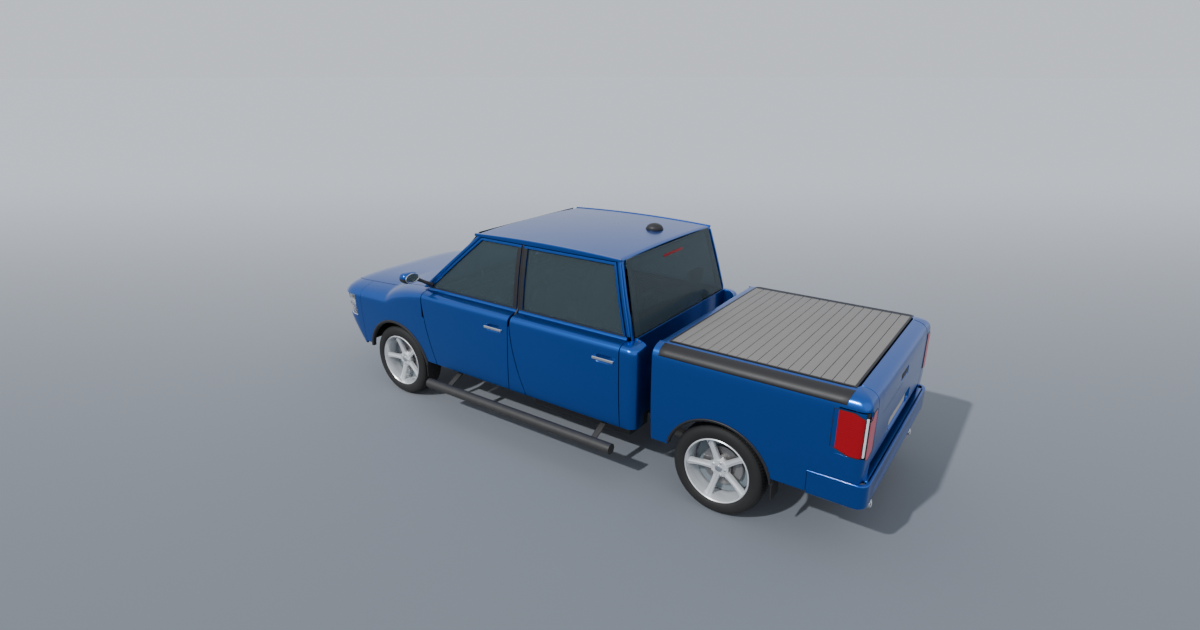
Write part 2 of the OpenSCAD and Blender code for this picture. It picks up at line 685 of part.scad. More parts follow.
// A wheel opening's trim: a ring on the panel, and a lip that turns in under the panel's edge
module flare(x, r) {
    inner = arch_radius - 13;
    lip = arch_radius - 5;
    proud = 12;
    deep = 46;
    low = 60;
    translate([x, half_width + proud, hub_z]) rotate([90, 0, 0]) difference() {
        union() {
            cylinder(h = proud - 0.5, r = r, $fn = 96);
            cylinder(h = deep, r = lip, $fn = 96);
        }
        translate([0, 0, -1]) cylinder(h = deep + 2, r = inner, $fn = 96);
        translate([-r - 50, -r - 50, -1]) cube([2 * r + 100, r + 50 + low, deep + 2]);
    }
}

module wheel_flares() {
    color(black) both() {
        flare(front_axle_x, arch_radius + 19);
        flare(rear_axle_x, arch_radius + 11);
        // Mud flaps
        for (x = [rear_axle_x, front_axle_x]) block([x - 482, 860, 330], [x - 462, half_width, 480]);
    }
}

module exhaust() {
    color(steel) both() rod([rear_x + 25, 650, 345], [-2600, 650, 378], 34);
    color(steel) block([-2620, -700, 330], [-2500, 700, 430]);
}

module fuel_tank() {
    color(black) block([-900, 480, 320], [200, 790, 452]);
}

module rear_axle() {
    color(black) {
        axle_bar(rear_axle_x, hub_z, 40, -730, 730);
        translate([rear_axle_x, 0, hub_z]) sphere(r = 135, $fn = 32);
        rod([rear_axle_x + 100, 0, hub_z], [896, 0, 425], 38);
        both() block([rear_axle_x - 640, 480, 325], [rear_axle_x + 640, 550, 370]);
    }
}

module front_suspension() {
    color(black) {
        both() bar([[1900, 470, 300], [2040, 470, 300], [2040, 470, 330], [1900, 470, 330]],
            [[1930, 690, 290], [2010, 690, 290], [2010, 690, 315], [1930, 690, 315]]);
        block([1900, -475, 290], [2040, 475, 360]);
    }
}

// ---- Wheels ------------------------------------------------------------------------------------------------

module tyre(x, side) {
    h = tyre_width / 2;
    shoulder_w = h - 30;
    color(black) translate([x, side * track_half, hub_z]) rotate([-90, 0, 0]) rotate_extrude($fn = 96)
        polygon([[rim_radius - 4, -h + 14], [rim_radius + 30, -h], [tyre_radius - 46, -h + 4],
            [tyre_radius - 10, -shoulder_w], [tyre_radius, -shoulder_w + 24], [tyre_radius, shoulder_w - 24],
            [tyre_radius - 10, shoulder_w], [tyre_radius - 46, h - 4], [rim_radius + 30, h],
            [rim_radius - 4, h - 14], [rim_radius - 4, -h + 14]]);
}

// Alloy rim with five spokes, its hub and the brake disc
module wheel(x, side) {
    h = tyre_width / 2;
    r = rim_radius - 5;
    color([0.8, 0.82, 0.84]) translate([x, side * track_half, hub_z]) rotate([-90 * side, 0, 0]) {
        difference() {
            union() {
                rotate_extrude($fn = 96) polygon([[r, -h + 16], [r, h - 6], [r - 14, h - 6], [r - 22, h - 30],
                    [r - 22, -h + 16]]);
                for (a = [0:72:288]) rotate([0, 0, a]) translate([40, -26, 60]) cube([r - 56, 52, 40]);
                translate([0, 0, 20]) cylinder(h = 84, r = 78, $fn = 48);
                cylinder(h = 24, r = 72, $fn = 48);
                translate([0, 0, -20]) cylinder(h = 22, r = 170, $fn = 64);
            }
            translate([0, 0, -21]) cylinder(h = 70, r = 36, $fn = 48);
        }
    }
}

module knuckle(side) {
    color(steel) translate([front_axle_x, side * (track_half - 60), hub_z]) rotate([-90 * side, 0, 0]) {
        cylinder(h = 30, r = 62, $fn = 48);
    }
}

// ---- Mirrors -----------------------------------------------------------------------------------------------

module mirror_pod() {
    color(blue) block([1485, 1010, 1398], [1595, 1190, 1506]);
    color(black) bar([[1440, 884, 1330], [1480, 884, 1330], [1480, 884, 1350], [1440, 884, 1350]],
        [[1520, 1015, 1405], [1560, 1015, 1405], [1560, 1015, 1425], [1520, 1015, 1425]]);
}

chassis_frame();
engine_block();
cab_floor();
cab_frame();
cab_panels();
roof_panel();
windshield();
rear_window();
front_fenders();
front_bumper();
grille();
headlamps();
dashboard();
steering_wheel();
seats();
cargo_bed();
bed_sides();
rail_caps();
tonneau_cover();
tail_lamps();
rear_bumper();
side_steps();
wheel_flares();
exhaust();
fuel_tank();
rear_axle();
front_suspension();
roof_antenna();
bonnet();
tailgate();
front_door();  // left_front_door
mirror([0, 1, 0]) front_door();  // right_front_door
rear_door();  // left_rear_door
mirror([0, 1, 0]) rear_door();  // right_rear_door
front_glass();  // left_front_glass
mirror([0, 1, 0]) front_glass();  // right_front_glass
rear_glass();  // left_rear_glass
mirror([0, 1, 0]) rear_glass();  // right_rear_glass
mirror_pod();  // left_mirror
mirror([0, 1, 0]) mirror_pod();  // right_mirror
knuckle(1);  // left_knuckle
knuckle(-1);  // right_knuckle
tyre(front_axle_x, 1);  // front_left_tyre
tyre(front_axle_x, -1);  // front_right_tyre
tyre(rear_axle_x, 1);  // rear_left_tyre
tyre(rear_axle_x, -1);  // rear_right_tyre
wheel(front_axle_x, 1);  // front_left_wheel
wheel(front_axle_x, -1);  // front_right_wheel
wheel(rear_axle_x, 1);  // rear_left_wheel
wheel(rear_axle_x, -1);  // rear_right_wheel
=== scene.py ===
# %% [markdown]
# # A crew-cab pickup truck
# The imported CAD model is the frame: it gives the size and place of everything. This lesson draws the truck's
# surfaces over it as smooth shapes worked out with numpy, gives every piece a material made of nodes, and
# lights it in a plain studio.

# %% Load the frame
import math

import bmesh
import bpy
import numpy as np
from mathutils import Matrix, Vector


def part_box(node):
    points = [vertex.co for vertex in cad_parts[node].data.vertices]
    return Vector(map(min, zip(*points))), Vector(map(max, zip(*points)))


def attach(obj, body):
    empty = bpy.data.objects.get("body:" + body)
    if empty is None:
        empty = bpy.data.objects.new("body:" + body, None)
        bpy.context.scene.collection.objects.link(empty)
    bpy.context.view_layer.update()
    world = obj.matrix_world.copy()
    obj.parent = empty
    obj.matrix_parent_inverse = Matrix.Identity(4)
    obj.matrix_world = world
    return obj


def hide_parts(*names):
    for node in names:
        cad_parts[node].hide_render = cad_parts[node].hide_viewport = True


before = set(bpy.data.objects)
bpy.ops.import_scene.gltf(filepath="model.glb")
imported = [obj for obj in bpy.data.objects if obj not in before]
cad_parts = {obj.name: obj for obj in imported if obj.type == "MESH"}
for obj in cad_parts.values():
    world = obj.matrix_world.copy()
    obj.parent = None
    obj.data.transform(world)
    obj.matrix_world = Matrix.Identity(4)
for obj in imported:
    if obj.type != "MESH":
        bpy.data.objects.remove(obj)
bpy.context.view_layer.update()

# %% [markdown]
# ## Sizes
# A body panel is cut from one smooth surface, so the numbers that shape that surface come first. What a node's
# box can say is read from the frame, and the rest are the named roundings that the CAD surface uses too.

# %% Sizes of the body
def low(node):
    """Lowest corner of a CAD node, in metres."""
    return np.array(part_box(node)[0])


def high(node):
    """Highest corner of a CAD node, in metres."""
    return np.array(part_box(node)[1])


HALF_WIDTH = 1.010
REAR_X = low("rear_bumper")[0]
FRONT_X = -REAR_X
FRONT_AXLE = (low("front_left_tyre")[0] + high("front_left_tyre")[0]) / 2
REAR_AXLE = (low("rear_left_tyre")[0] + high("rear_left_tyre")[0]) / 2
TYRE_RADIUS = high("rear_left_tyre")[2] / 2
TRACK_HALF = (low("rear_left_tyre")[1] + high("rear_left_tyre")[1]) / 2
TYRE_HALF = TRACK_HALF - low("rear_left_tyre")[1]
SILL = low("left_front_door")[2]
EAVES_Z = high("left_front_door")[2]
BELT_Z = EAVES_Z - 0.600
GLASS_TOP = EAVES_Z - 0.022
BELT_Y, EAVES_Y = 0.880, 0.820
WAIST, SHOULDER, RAIL_TOP, NOSE_TOP = 0.995, 1.282, 1.362, 1.184
NOSE_LENGTH, NOSE_POWER, NOSE_TUCK = 0.450, 4.24, 0.78
SILL_TUCK = 0.022
GAP, SEAM = 0.008, 0.0055
DOOR_DEPTH, FRAME_DEPTH = 0.105, 0.044
FRONT_DOOR_X = REAR_AXLE + 3.333
SPLIT_X = REAR_AXLE + 2.134
REAR_DOOR_X = REAR_AXLE + 0.915
CAB_REAR_X = REAR_AXLE + 0.739
BED_REAR_X = REAR_X + 0.045
BED_FRONT_X = REAR_AXLE + 0.595
ARCH = 0.455
print("axles", REAR_AXLE, FRONT_AXLE, "tyre", TYRE_RADIUS, "sill", SILL, "eaves", EAVES_Z, "rear", REAR_X)

# %% [markdown]
# ## Meshes from arrays
# Every shape below is a pair: an array of points and a list of face arrays. Keeping shapes as plain arrays until
# the last moment lets them be mirrored, turned, repeated and joined with one line of numpy each.

# %% Shape helpers
def join(shapes):
    """One shape from several: points stacked, face numbers shifted by the points that come before."""
    points, faces, start = [], [], 0
    for p, f in shapes:
        points.append(p)
        faces += [a + start for a in f]
        start += len(p)
    return np.concatenate(points), faces


def mirrored(shape):
    """The shape on the truck's other side: y changes sign, and each face runs the other way round."""
    return shape[0] * [1, -1, 1], [f[:, ::-1] for f in shape[1]]


def pair(shape):
    """A left piece and its mirror image."""
    return join([shape, mirrored(shape)])


def moved(shape, offset):
    """The shape moved by an offset."""
    return shape[0] + np.asarray(offset, float), shape[1]


def turned(shape, axis, degrees, about=(0, 0, 0)):
    """The shape turned about a line through a point along X, Y or Z, by the usual rotation of two coordinates."""
    i, j = {"x": (1, 2), "y": (2, 0), "z": (0, 1)}[axis]
    c, s = math.cos(math.radians(degrees)), math.sin(math.radians(degrees))
    p = shape[0] - np.asarray(about, float)
    q = p.copy()
    q[:, i], q[:, j] = c * p[:, i] - s * p[:, j], s * p[:, i] + c * p[:, j]
    return q + np.asarray(about, float), shape[1]


def grid_of(x, y, z):
    """A grid of points from coordinates that spread over each other as numpy broadcasts them."""
    return np.stack(np.broadcast_arrays(x, y, z), -1)


def grid_faces(rows, cols, wrap_rows=False, wrap_cols=False):
    """Faces of a grid of points, optionally closed on itself along either direction."""
    i, j = np.meshgrid(np.arange(rows - (not wrap_rows)), np.arange(cols - (not wrap_cols)), indexing="ij")
    i, j = i.ravel(), j.ravel()
    k, m = (i + 1) % rows, (j + 1) % cols
    return np.stack([i * cols + j, k * cols + j, k * cols + m, i * cols + m], 1)


def panel(outer, inner, keep=None):
    """A wall between two grids of points. keep marks the cells that exist; the wall's edge closes round them.
    Seen from outside, the second index runs up and the first runs to the left."""
    rows, cols = outer.shape[:2]
    keep = np.ones((rows - 1, cols - 1), bool) if keep is None else keep
    ids = np.arange(rows * cols).reshape(rows, cols)
    a, b, c, d = ids[:-1, :-1], ids[1:, :-1], ids[1:, 1:], ids[:-1, 1:]
    back = rows * cols
    front_faces = np.stack([a, d, c, b], -1)[keep]
    back_faces = np.stack([a, b, c, d], -1)[keep] + back
    framed = np.pad(keep, 1)
    walls = []
    for p, q, beside in ((a, b, framed[1:-1, :-2]), (b, c, framed[2:, 1:-1]),
                         (c, d, framed[1:-1, 2:]), (d, a, framed[:-2, 1:-1])):
        edge = keep & ~beside
        walls.append(np.stack([p[edge], q[edge], q[edge] + back, p[edge] + back], -1))
    points = np.concatenate([outer.reshape(-1, 3), inner.reshape(-1, 3)])
    return points, [front_faces, back_faces, np.concatenate(walls)]


def rounded_box(lowest, highest, radius, n=4):
    """A box with rounded edges: the corner of a smaller box plus radius times the direction on a sphere."""
    lowest, highest = np.asarray(lowest, float), np.asarray(highest, float)
    radius = min(radius, (highest - lowest).min() / 2 * 0.999)
    quarter = np.linspace(0, math.pi / 2, n + 1)
    turn = np.concatenate([quarter + k * math.pi / 2 for k in range(4)])
    rise = np.concatenate([quarter - math.pi / 2, quarter])
    sign_x = np.repeat([1, -1, -1, 1], n + 1)
    sign_y = np.repeat([1, 1, -1, -1], n + 1)
    sign_z = np.repeat([-1, 1], n + 1)
    core = (highest - lowest) / 2 - radius
    u, v = np.meshgrid(turn, rise, indexing="ij")
    p = np.stack([sign_x[:, None] * core[0] + radius * np.cos(u) * np.cos(v),
                  sign_y[:, None] * core[1] + radius * np.sin(u) * np.cos(v),
                  sign_z[None, :] * core[2] + radius * np.sin(v) + 0 * u], -1)
    rows, cols = len(turn), len(rise)
    corners = np.arange(4) * (n + 1)
    caps = np.stack([corners[::-1] * cols, corners * cols + cols - 1])
    return p.reshape(-1, 3) + (lowest + highest) / 2, [grid_faces(rows, cols, wrap_rows=True), caps]


def lathe(profile, centre, axis="y", n=96):
    """A profile of (radius, distance along the axis) pairs turned once round; the profile is a closed loop."""
    profile = np.asarray(profile, float)
    a = np.linspace(0, 2 * math.pi, n, endpoint=False)
    r, h = profile[:, 0], profile[:, 1]
    across, up = np.outer(np.cos(a), r), np.outer(np.sin(a), r)
    along = np.broadcast_to(h, across.shape)
    order = {"y": (across, along, up), "z": (across, up, along), "x": (along, across, up)}[axis]
    points = np.stack(order, -1).reshape(-1, 3) + np.asarray(centre, float)
    faces = grid_faces(n, len(profile), wrap_rows=True, wrap_cols=True)
    return points, [faces if axis == "y" else faces[:, ::-1]]


def tube(path, radius, n=16, closed=False):
    """A round tube along a path: at each point a circle stands square to the path, and flat caps close its ends."""
    path = np.asarray(path, float)
    ahead = np.roll(path, -1, 0) - np.roll(path, 1, 0)
    if not closed:
        ahead[0], ahead[-1] = path[1] - path[0], path[-1] - path[-2]
    ahead /= np.linalg.norm(ahead, axis=1)[:, None]
    up = np.where(np.abs(ahead[:, 2:3]) > 0.9, [[0.0, 1, 0]], [[0.0, 0, 1]])
    side = np.cross(ahead, up)
    side /= np.linalg.norm(side, axis=1)[:, None]
    top = np.cross(side, ahead)
    a = np.linspace(0, 2 * math.pi, n, endpoint=False)
    radius = np.broadcast_to(radius, (len(path),))[:, None, None]
    ring = side[:, None] * np.cos(a)[None, :, None] + top[:, None] * np.sin(a)[None, :, None]
    points = (path[:, None] + ring * radius).reshape(-1, 3)
    faces = [grid_faces(len(path), n, wrap_rows=closed, wrap_cols=True)[:, ::-1]]
    if not closed:
        faces.append(np.arange(n)[None])
        faces.append(((len(path) - 1) * n + np.arange(n))[None, ::-1])
    return points, faces


def smooth_path(points, n=40):
    """A smooth curve through a few points: each stretch is the usual cubic that keeps the neighbours' direction."""
    p = np.asarray(points, float)
    p = np.concatenate([[2 * p[0] - p[1]], p, [2 * p[-1] - p[-2]]])
    t = np.linspace(0, len(p) - 3, n)
    k = np.minimum(t.astype(int), len(p) - 4)
    f = (t - k)[:, None]
    a, b, c, d = p[k], p[k + 1], p[k + 2], p[k + 3]
    return 0.5 * (2 * b + (c - a) * f + (2 * a - 5 * b + 4 * c - d) * f**2 + (3 * b - a - 3 * c + d) * f**3)


# %% [markdown]
# A shape becomes a Blender object here. Points that fall together are welded so that the surface is closed,
# its faces are turned outwards, and edges sharper than an angle stay crisp under smooth shading.

# %% Pieces from shapes
def placed_mesh(name, mesh, body, replaces, bevel, crease):
    """An object from a mesh: smooth shading with crisp edges, a bevel, and the body it rides on."""
    mesh.shade_smooth()
    mesh.set_sharp_from_angle(angle=math.radians(crease))
    obj = bpy.data.objects.new(name, mesh)
    bpy.context.scene.collection.objects.link(obj)
    if bevel:
        cut = obj.modifiers.new("Rounded edges", "BEVEL")
        cut.width = bevel
        cut.segments = 2
        cut.limit_method = "ANGLE"
        cut.angle_limit = math.radians(crease)
    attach(obj, body)
    if replaces:
        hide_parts(*replaces)
    return obj


def piece(name, shape, material, body, replaces=(), bevel=0.0, crease=35, inner=None):
    """Makes a mesh object from a shape, gives it its material and says which body it rides on. inner is the
    material of a wall's back faces, the second of each three face arrays that panel makes."""
    points, faces = shape
    mesh = bpy.data.meshes.new(name)
    loops = np.concatenate([f.ravel() for f in faces])
    sizes = np.concatenate([np.full(len(f), f.shape[1]) for f in faces])
    mesh.vertices.add(len(points))
    mesh.vertices.foreach_set("co", points.astype(np.float32).ravel())
    mesh.loops.add(len(loops))
    mesh.loops.foreach_set("vertex_index", loops.astype(np.int32))
    mesh.polygons.add(len(sizes))
    mesh.polygons.foreach_set("loop_start", np.concatenate([[0], np.cumsum(sizes)[:-1]]).astype(np.int32))
    mesh.materials.append(material)
    if inner:
        mesh.materials.append(inner)
        back = np.concatenate([np.full(len(f), int(k % 3 == 1)) for k, f in enumerate(faces)])
        mesh.polygons.foreach_set("material_index", back.astype(np.int32))
    mesh.update(calc_edges=True)
    bm = bmesh.new()
    bm.from_mesh(mesh)
    bmesh.ops.remove_doubles(bm, verts=bm.verts, dist=2e-6)
    loose = [v for v in bm.verts if not v.link_faces]
    bmesh.ops.delete(bm, geom=loose, context="VERTS")
    bmesh.ops.recalc_face_normals(bm, faces=bm.faces)
    bm.to_mesh(mesh)
    bm.free()
    return placed_mesh(name, mesh, body, replaces, bevel, crease)


# %% [markdown]
# ## Paints and plastics
# Effects that several finishes share are node groups: a fine grain for plastics and rubber, metal flakes and a
# dust veil that gathers low on the body. A group puts out numbers and colours, and each material feeds them to
# its own Principled shader, where the constants are typed straight into the sockets.

# %% Node groups
def new_group(name, inputs, outputs):
    """A node group with float inputs, each with a default, and named float, colour or vector outputs."""
    group = bpy.data.node_groups.new(name, "ShaderNodeTree")
    for title, value in inputs.items():
        socket = group.interface.new_socket(name=title, in_out="INPUT", socket_type="NodeSocketFloat")
        socket.default_value = value
    for title, kind in outputs.items():
        group.interface.new_socket(name=title, in_out="OUTPUT", socket_type="NodeSocket" + kind)
    return group, group.nodes.new("NodeGroupInput"), group.nodes.new("NodeGroupOutput")


def math_node(tree, operation, a, b=None, clamp=False):
    """A math node of two values, each a socket or a number."""
    node = tree.nodes.new("ShaderNodeMath")
    node.operation = operation
    node.use_clamp = clamp
    for socket, value in zip(node.inputs, (a, b)):
        if isinstance(value, bpy.types.NodeSocket):
            tree.links.new(value, socket)
        elif value is not None:
            socket.default_value = value
    return node.outputs[0]


def object_place(tree):
    """The socket of Object coordinates."""
    return tree.nodes.new("ShaderNodeTexCoord").outputs["Object"]


def noise(tree, scale, detail=2.0, roughness=0.5):
    """Noise over Object coordinates."""
    node = tree.nodes.new("ShaderNodeTexNoise")
    node.inputs["Detail"].default_value = detail
    node.inputs["Roughness"].default_value = roughness
    node.inputs["Scale"].default_value = scale
    tree.links.new(object_place(tree), node.inputs["Vector"])
    return node.outputs["Fac"]


def wave(tree, direction, scale):
    """Bands square to one of the Object axes."""
    node = tree.nodes.new("ShaderNodeTexWave")
    node.bands_direction = direction
    node.inputs["Scale"].default_value = scale
    tree.links.new(object_place(tree), node.inputs["Vector"])
    return node.outputs["Fac"]


def blend(tree, factor, a, b):
    """A colour mixed from a to b by a factor socket; a is a colour or a socket, b is a colour."""
    node = tree.nodes.new("ShaderNodeMix")
    node.data_type = "RGBA"
    if isinstance(a, bpy.types.NodeSocket):
        tree.links.new(a, node.inputs["A"])
    else:
        node.inputs["A"].default_value = (*a, 1)
    node.inputs["B"].default_value = (*b, 1)
    tree.links.new(factor, node.inputs["Factor"])
    return node.outputs["Result"]


def emboss(tree, height, distance):
    """A bump of a height socket, fed to the material's shader."""
    relief = tree.nodes.new("ShaderNodeBump")
    relief.inputs["Distance"].default_value = distance
    relief.inputs["Strength"].default_value = 1.0
    tree.links.new(height, relief.inputs["Height"])
    tree.links.new(relief.outputs["Normal"], tree.nodes["Principled BSDF"].inputs["Normal"])


def grain_group():
    """Grain: pebbled cells for height, and a slow cloud that varies the roughness about a middle value."""
    group, inside, out = new_group("Moulded grain", {"Scale": 900.0, "Roughness": 0.5, "Variation": 0.1},
                                   {"Height": "Float", "Roughness": "Float"})
    cells = group.nodes.new("ShaderNodeTexVoronoi")
    cells.feature = "SMOOTH_F1"
    group.links.new(object_place(group), cells.inputs["Vector"])
    group.links.new(inside.outputs["Scale"], cells.inputs["Scale"])
    group.links.new(cells.outputs["Distance"], out.inputs["Height"])
    cloud = math_node(group, "SUBTRACT", noise(group, 6.0, 4.0), 0.5)
    spread = math_node(group, "MULTIPLY", cloud, inside.outputs["Variation"])
    group.links.new(math_node(group, "ADD", spread, inside.outputs["Roughness"], True), out.inputs["Roughness"])
    return group


def dust_group():
    """Dust: a mask that is 1 at the ground and fades to nothing at a height, broken up by noise."""
    group, inside, out = new_group("Road dust", {"Height": 0.8, "Amount": 0.3}, {"Mask": "Float"})
    split = group.nodes.new("ShaderNodeSeparateXYZ")
    group.links.new(object_place(group), split.inputs["Vector"])
    share = math_node(group, "DIVIDE", split.outputs["Z"], inside.outputs["Height"])
    fall = math_node(group, "SUBTRACT", 1.0, share, True)
    broken = math_node(group, "MULTIPLY", fall, noise(group, 14.0, 5.0, 0.65))
    group.links.new(math_node(group, "MULTIPLY", broken, inside.outputs["Amount"], True), out.inputs["Mask"])
    return group


GRAIN = grain_group()
DUST = dust_group()
print("node groups", [g.name for g in bpy.data.node_groups])


# %% [markdown]
# Every finish starts from the same recipe: a base colour that drifts a little between two tones, dust towards the
# ground, a roughness that wanders and a bump of grain. What makes each one itself is the numbers, and the constants
# of its shader such as metal, coat or transmission.

# %% Materials
DUST_COLOUR = (0.25, 0.23, 0.2)


def placed(tree, group, **values):
    """A copy of a node group in a material, with its own input values."""
    node = tree.nodes.new("ShaderNodeGroup")
    node.node_tree = group
    for title, value in values.items():
        node.inputs[title].default_value = value
    return node


def finish_of(name, colour, second=None, roughness=0.5, variation=0.1, grain=900.0, bump=0.0, dust=0.0, patches=3.0,
              **constants):
    """A Principled material: two tones mixed by a cloud, dust over them, grain for roughness and bump."""
    material = bpy.data.materials.new(name)
    material.use_nodes = True
    tree = material.node_tree
    shader = tree.nodes["Principled BSDF"]
    for title, value in constants.items():
        shader.inputs[title.replace("_", " ")].default_value = value
    tones = blend(tree, noise(tree, patches, 3.0), colour, second or [c * 0.86 for c in colour])
    veil = blend(tree, placed(tree, DUST, Amount=dust).outputs["Mask"], tones, DUST_COLOUR)
    tree.links.new(veil, shader.inputs["Base Color"])
    surface = placed(tree, GRAIN, Scale=grain, Roughness=roughness, Variation=variation)
    tree.links.new(surface.outputs["Roughness"], shader.inputs["Roughness"])
    if bump:
        emboss(tree, surface.outputs["Height"], bump)
    return material


paint = finish_of("Metallic blue paint", (0.0028, 0.085, 0.40), (0.0034, 0.092, 0.425), 0.28, 0.03, patches=0.8,
                  dust=0.02, Metallic=0.90, Coat_Weight=0.55, Coat_Roughness=0.10)
under_paint = finish_of("Blue floor paint", (0.004, 0.05, 0.17), None, 0.6, 0.2, 300.0, 0.0002, 0.4)
frame_black = finish_of("Chassis black", (0.012, 0.012, 0.013), (0.020, 0.020, 0.020), 0.55, 0.2, 200.0, 0.0003, 0.18)
cast = finish_of("Cast alloy", (0.34, 0.34, 0.35), (0.22, 0.22, 0.22), 0.55, 0.2, 350.0, 0.0004, 0.5, Metallic=0.8)
trim = finish_of("Grained black trim", (0.010, 0.010, 0.011), (0.014, 0.014, 0.015), 0.5, 0.1, 700.0, 0.0002, 0.08)
gloss_black = finish_of("Gloss black", (0.008, 0.008, 0.009), None, 0.12, 0.05, Coat_Weight=0.6)
rubber = finish_of("Tyre rubber", (0.004, 0.004, 0.0045), (0.007, 0.007, 0.007), 0.72, 0.12, 500.0, 0.0002, 0.06)
seal = finish_of("Door seal", (0.006, 0.006, 0.007), None, 0.6, 0.1, 900.0, 0.0001)
silver = finish_of("Alloy silver", (0.80, 0.82, 0.84), (0.74, 0.76, 0.78), 0.30, 0.06, 1500.0, 0.00003, 0.03,
                   Metallic=0.55, Coat_Weight=0.4, Coat_Roughness=0.1)
chrome = finish_of("Bright chrome", (0.82, 0.83, 0.84), None, 0.1, 0.06, Metallic=1.0)
iron = finish_of("Brake disc iron", (0.30, 0.30, 0.31), (0.2, 0.19, 0.18), 0.4, 0.2, 800.0, 0.0001, Metallic=0.9)
shield_grey = finish_of("Dust shield grey", (0.17, 0.20, 0.22), (0.14, 0.17, 0.19), 0.5, 0.1, 500.0, 0.0001)
slat_grey = finish_of("Slat grey", (0.20, 0.19, 0.18), (0.23, 0.22, 0.21), 0.5, 0.15, 400.0, 0.0001, Metallic=0.25)
cabin = finish_of("Cabin plastic", (0.028, 0.028, 0.031), (0.040, 0.040, 0.044), 0.62, 0.12, 600.0, 0.0003)
carpet = finish_of("Carpet", (0.020, 0.020, 0.022), (0.035, 0.035, 0.038), 0.95, 0.05, 1400.0, 0.0012)
edge_band = finish_of("Pale edge band", (0.30, 0.33, 0.31), None, 0.4, 0.1)
plate_blank = finish_of("Blank plate", (0.52, 0.47, 0.38), None, 0.4, 0.1)


def lens(name, colour, dark, lines, **constants):
    """A lamp lens: moulded ribs across its height as a bump, two tones mixed by a cloud, and a low specular level."""
    material = finish_of(name, colour, dark, 0.35, 0.06, Specular_IOR_Level=0.25, **constants)
    emboss(material.node_tree, wave(material.node_tree, "Z", lines), 0.0006)
    return material


red_lens = lens("Red lens", (0.30, 0.002, 0.008), (0.26, 0.002, 0.007), 22.0)
pink_lens = lens("Pale red lens", (0.62, 0.16, 0.20), (0.50, 0.10, 0.14), 30.0)
clear_lens = finish_of("Clear lens", (0.95, 0.96, 0.97), None, 0.04, 0.02, Transmission_Weight=0.92, IOR=1.45)
white_lens = lens("White lamp", (0.80, 0.80, 0.80), (0.66, 0.66, 0.68), 26.0)
glass = finish_of("Tinted glass", (0.17, 0.235, 0.26), (0.16, 0.225, 0.25), 0.04, 0.02, Transmission_Weight=0.80,
                  IOR=1.2, Specular_IOR_Level=0.6)


def fabric_material():
    """Seat cloth: crossed waves for the weave, a lighter sheen at the edges and soft patches of wear."""
    material = finish_of("Seat fabric", (0.040, 0.041, 0.044), (0.060, 0.060, 0.064), 0.9, 0.1, 900.0, 0.0, patches=9.0,
                         Sheen_Weight=0.35)
    tree = material.node_tree
    threads = [wave(tree, direction, 110.0) for direction in ("X", "Y", "Z")]
    woven = math_node(tree, "MULTIPLY", math_node(tree, "MAXIMUM", threads[0], threads[1]), threads[2])
    emboss(tree, woven, 0.0012)
    return material


fabric = fabric_material()
print(len(bpy.data.materials), "materials")


# %% [markdown]
# ## The doors
# The side of the truck is one swept section: nearly flat up to the waist, then a tight superellipse over the
# shoulder, then the window frame that leans in to the roof. The doors, the panel behind them and the post between
# them all take their points from it, so they meet in one surface with an even gap.

# %% The side's section
def lerp(a, b, t):
    """The point part t of the way from a to b."""
    return a + (b - a) * t


def flank(z):
    """Half width below the waist: it tucks in with the square of the distance down."""
    return HALF_WIDTH - SILL_TUCK * ((WAIST - z) / (WAIST - SILL)) ** 2


def round_off(a, power):
    """Radius of a superellipse of a power at angle a."""
    return (np.abs(np.cos(a)) ** power + np.abs(np.sin(a)) ** power) ** (-1 / power)


def crown_scale(z, top, power):
    """Share of the full width left at height z, above the waist."""
    up = np.clip((z - WAIST) / (top - WAIST), 0, 1)
    return (1 - up**power) ** (1 / power)


def crown_top(x):
    """Height of the section's top: level along the doors, falling to the nose."""
    return lerp(SHOULDER, NOSE_TOP, np.clip((x - FRONT_DOOR_X) / (FRONT_X - FRONT_DOOR_X), 0, None))


def crown_power(x):
    """Roundness of the section: tight along the doors, soft over the nose."""
    return np.clip(12 - 9 * (x - FRONT_DOOR_X) / 0.600, 3, 12)


def crown_point(x, a):
    """Point of the shoulder at length x and angle a up from the side."""
    r = round_off(a, crown_power(x))
    y, z = HALF_WIDTH * np.cos(a) * r, WAIST + (crown_top(x) - WAIST) * np.sin(a) * r
    return grid_of(x, y, z)


def glass_y(z):
    """Half width of the glasshouse, a line from belt to eaves bowed out by a half sine."""
    t = (z - BELT_Z) / (EAVES_Z - BELT_Z)
    return lerp(BELT_Y, EAVES_Y, t) + 0.010 * np.sin(np.pi * t)


def screen_edge(z):
    """The windscreen pillar's line, seen from the side."""
    return lerp(FRONT_DOOR_X + 0.011, FRONT_DOOR_X - 0.699, (z - BELT_Z) / (GLASS_TOP - BELT_Z))


def quarter_edge(z):
    """The line behind the rear side window."""
    return lerp(REAR_DOOR_X + 0.018, REAR_DOOR_X + 0.158, (z - BELT_Z) / (EAVES_Z - BELT_Z))


def front_cut(z):
    """Front edge of the front door: upright, swept back under the shoulder, then along the pillar."""
    below = FRONT_DOOR_X - 0.133 * np.clip((1.210 - z) / 0.670, 0, None) ** 1.5
    return np.where(z > BELT_Z - 0.015, screen_edge(z), below)


def split_front(z):
    """Rear edge of the front door."""
    return SPLIT_X + 0.020 + np.where(z > 1.165, -0.075 * (z - 1.165), 0.054 * (1.165 - z))


def split_rear(z):
    """Front edge of the rear door."""
    below = -0.158 * np.clip((1.165 - z) / 0.665, 0, None) ** 1.6
    return SPLIT_X - 0.008 + np.where(z > 1.165, -0.075 * (z - 1.165), below)


def rear_cut(z):
    """Rear edge of the rear door."""
    return np.where(z > BELT_Z - 0.015, quarter_edge(z), REAR_DOOR_X)


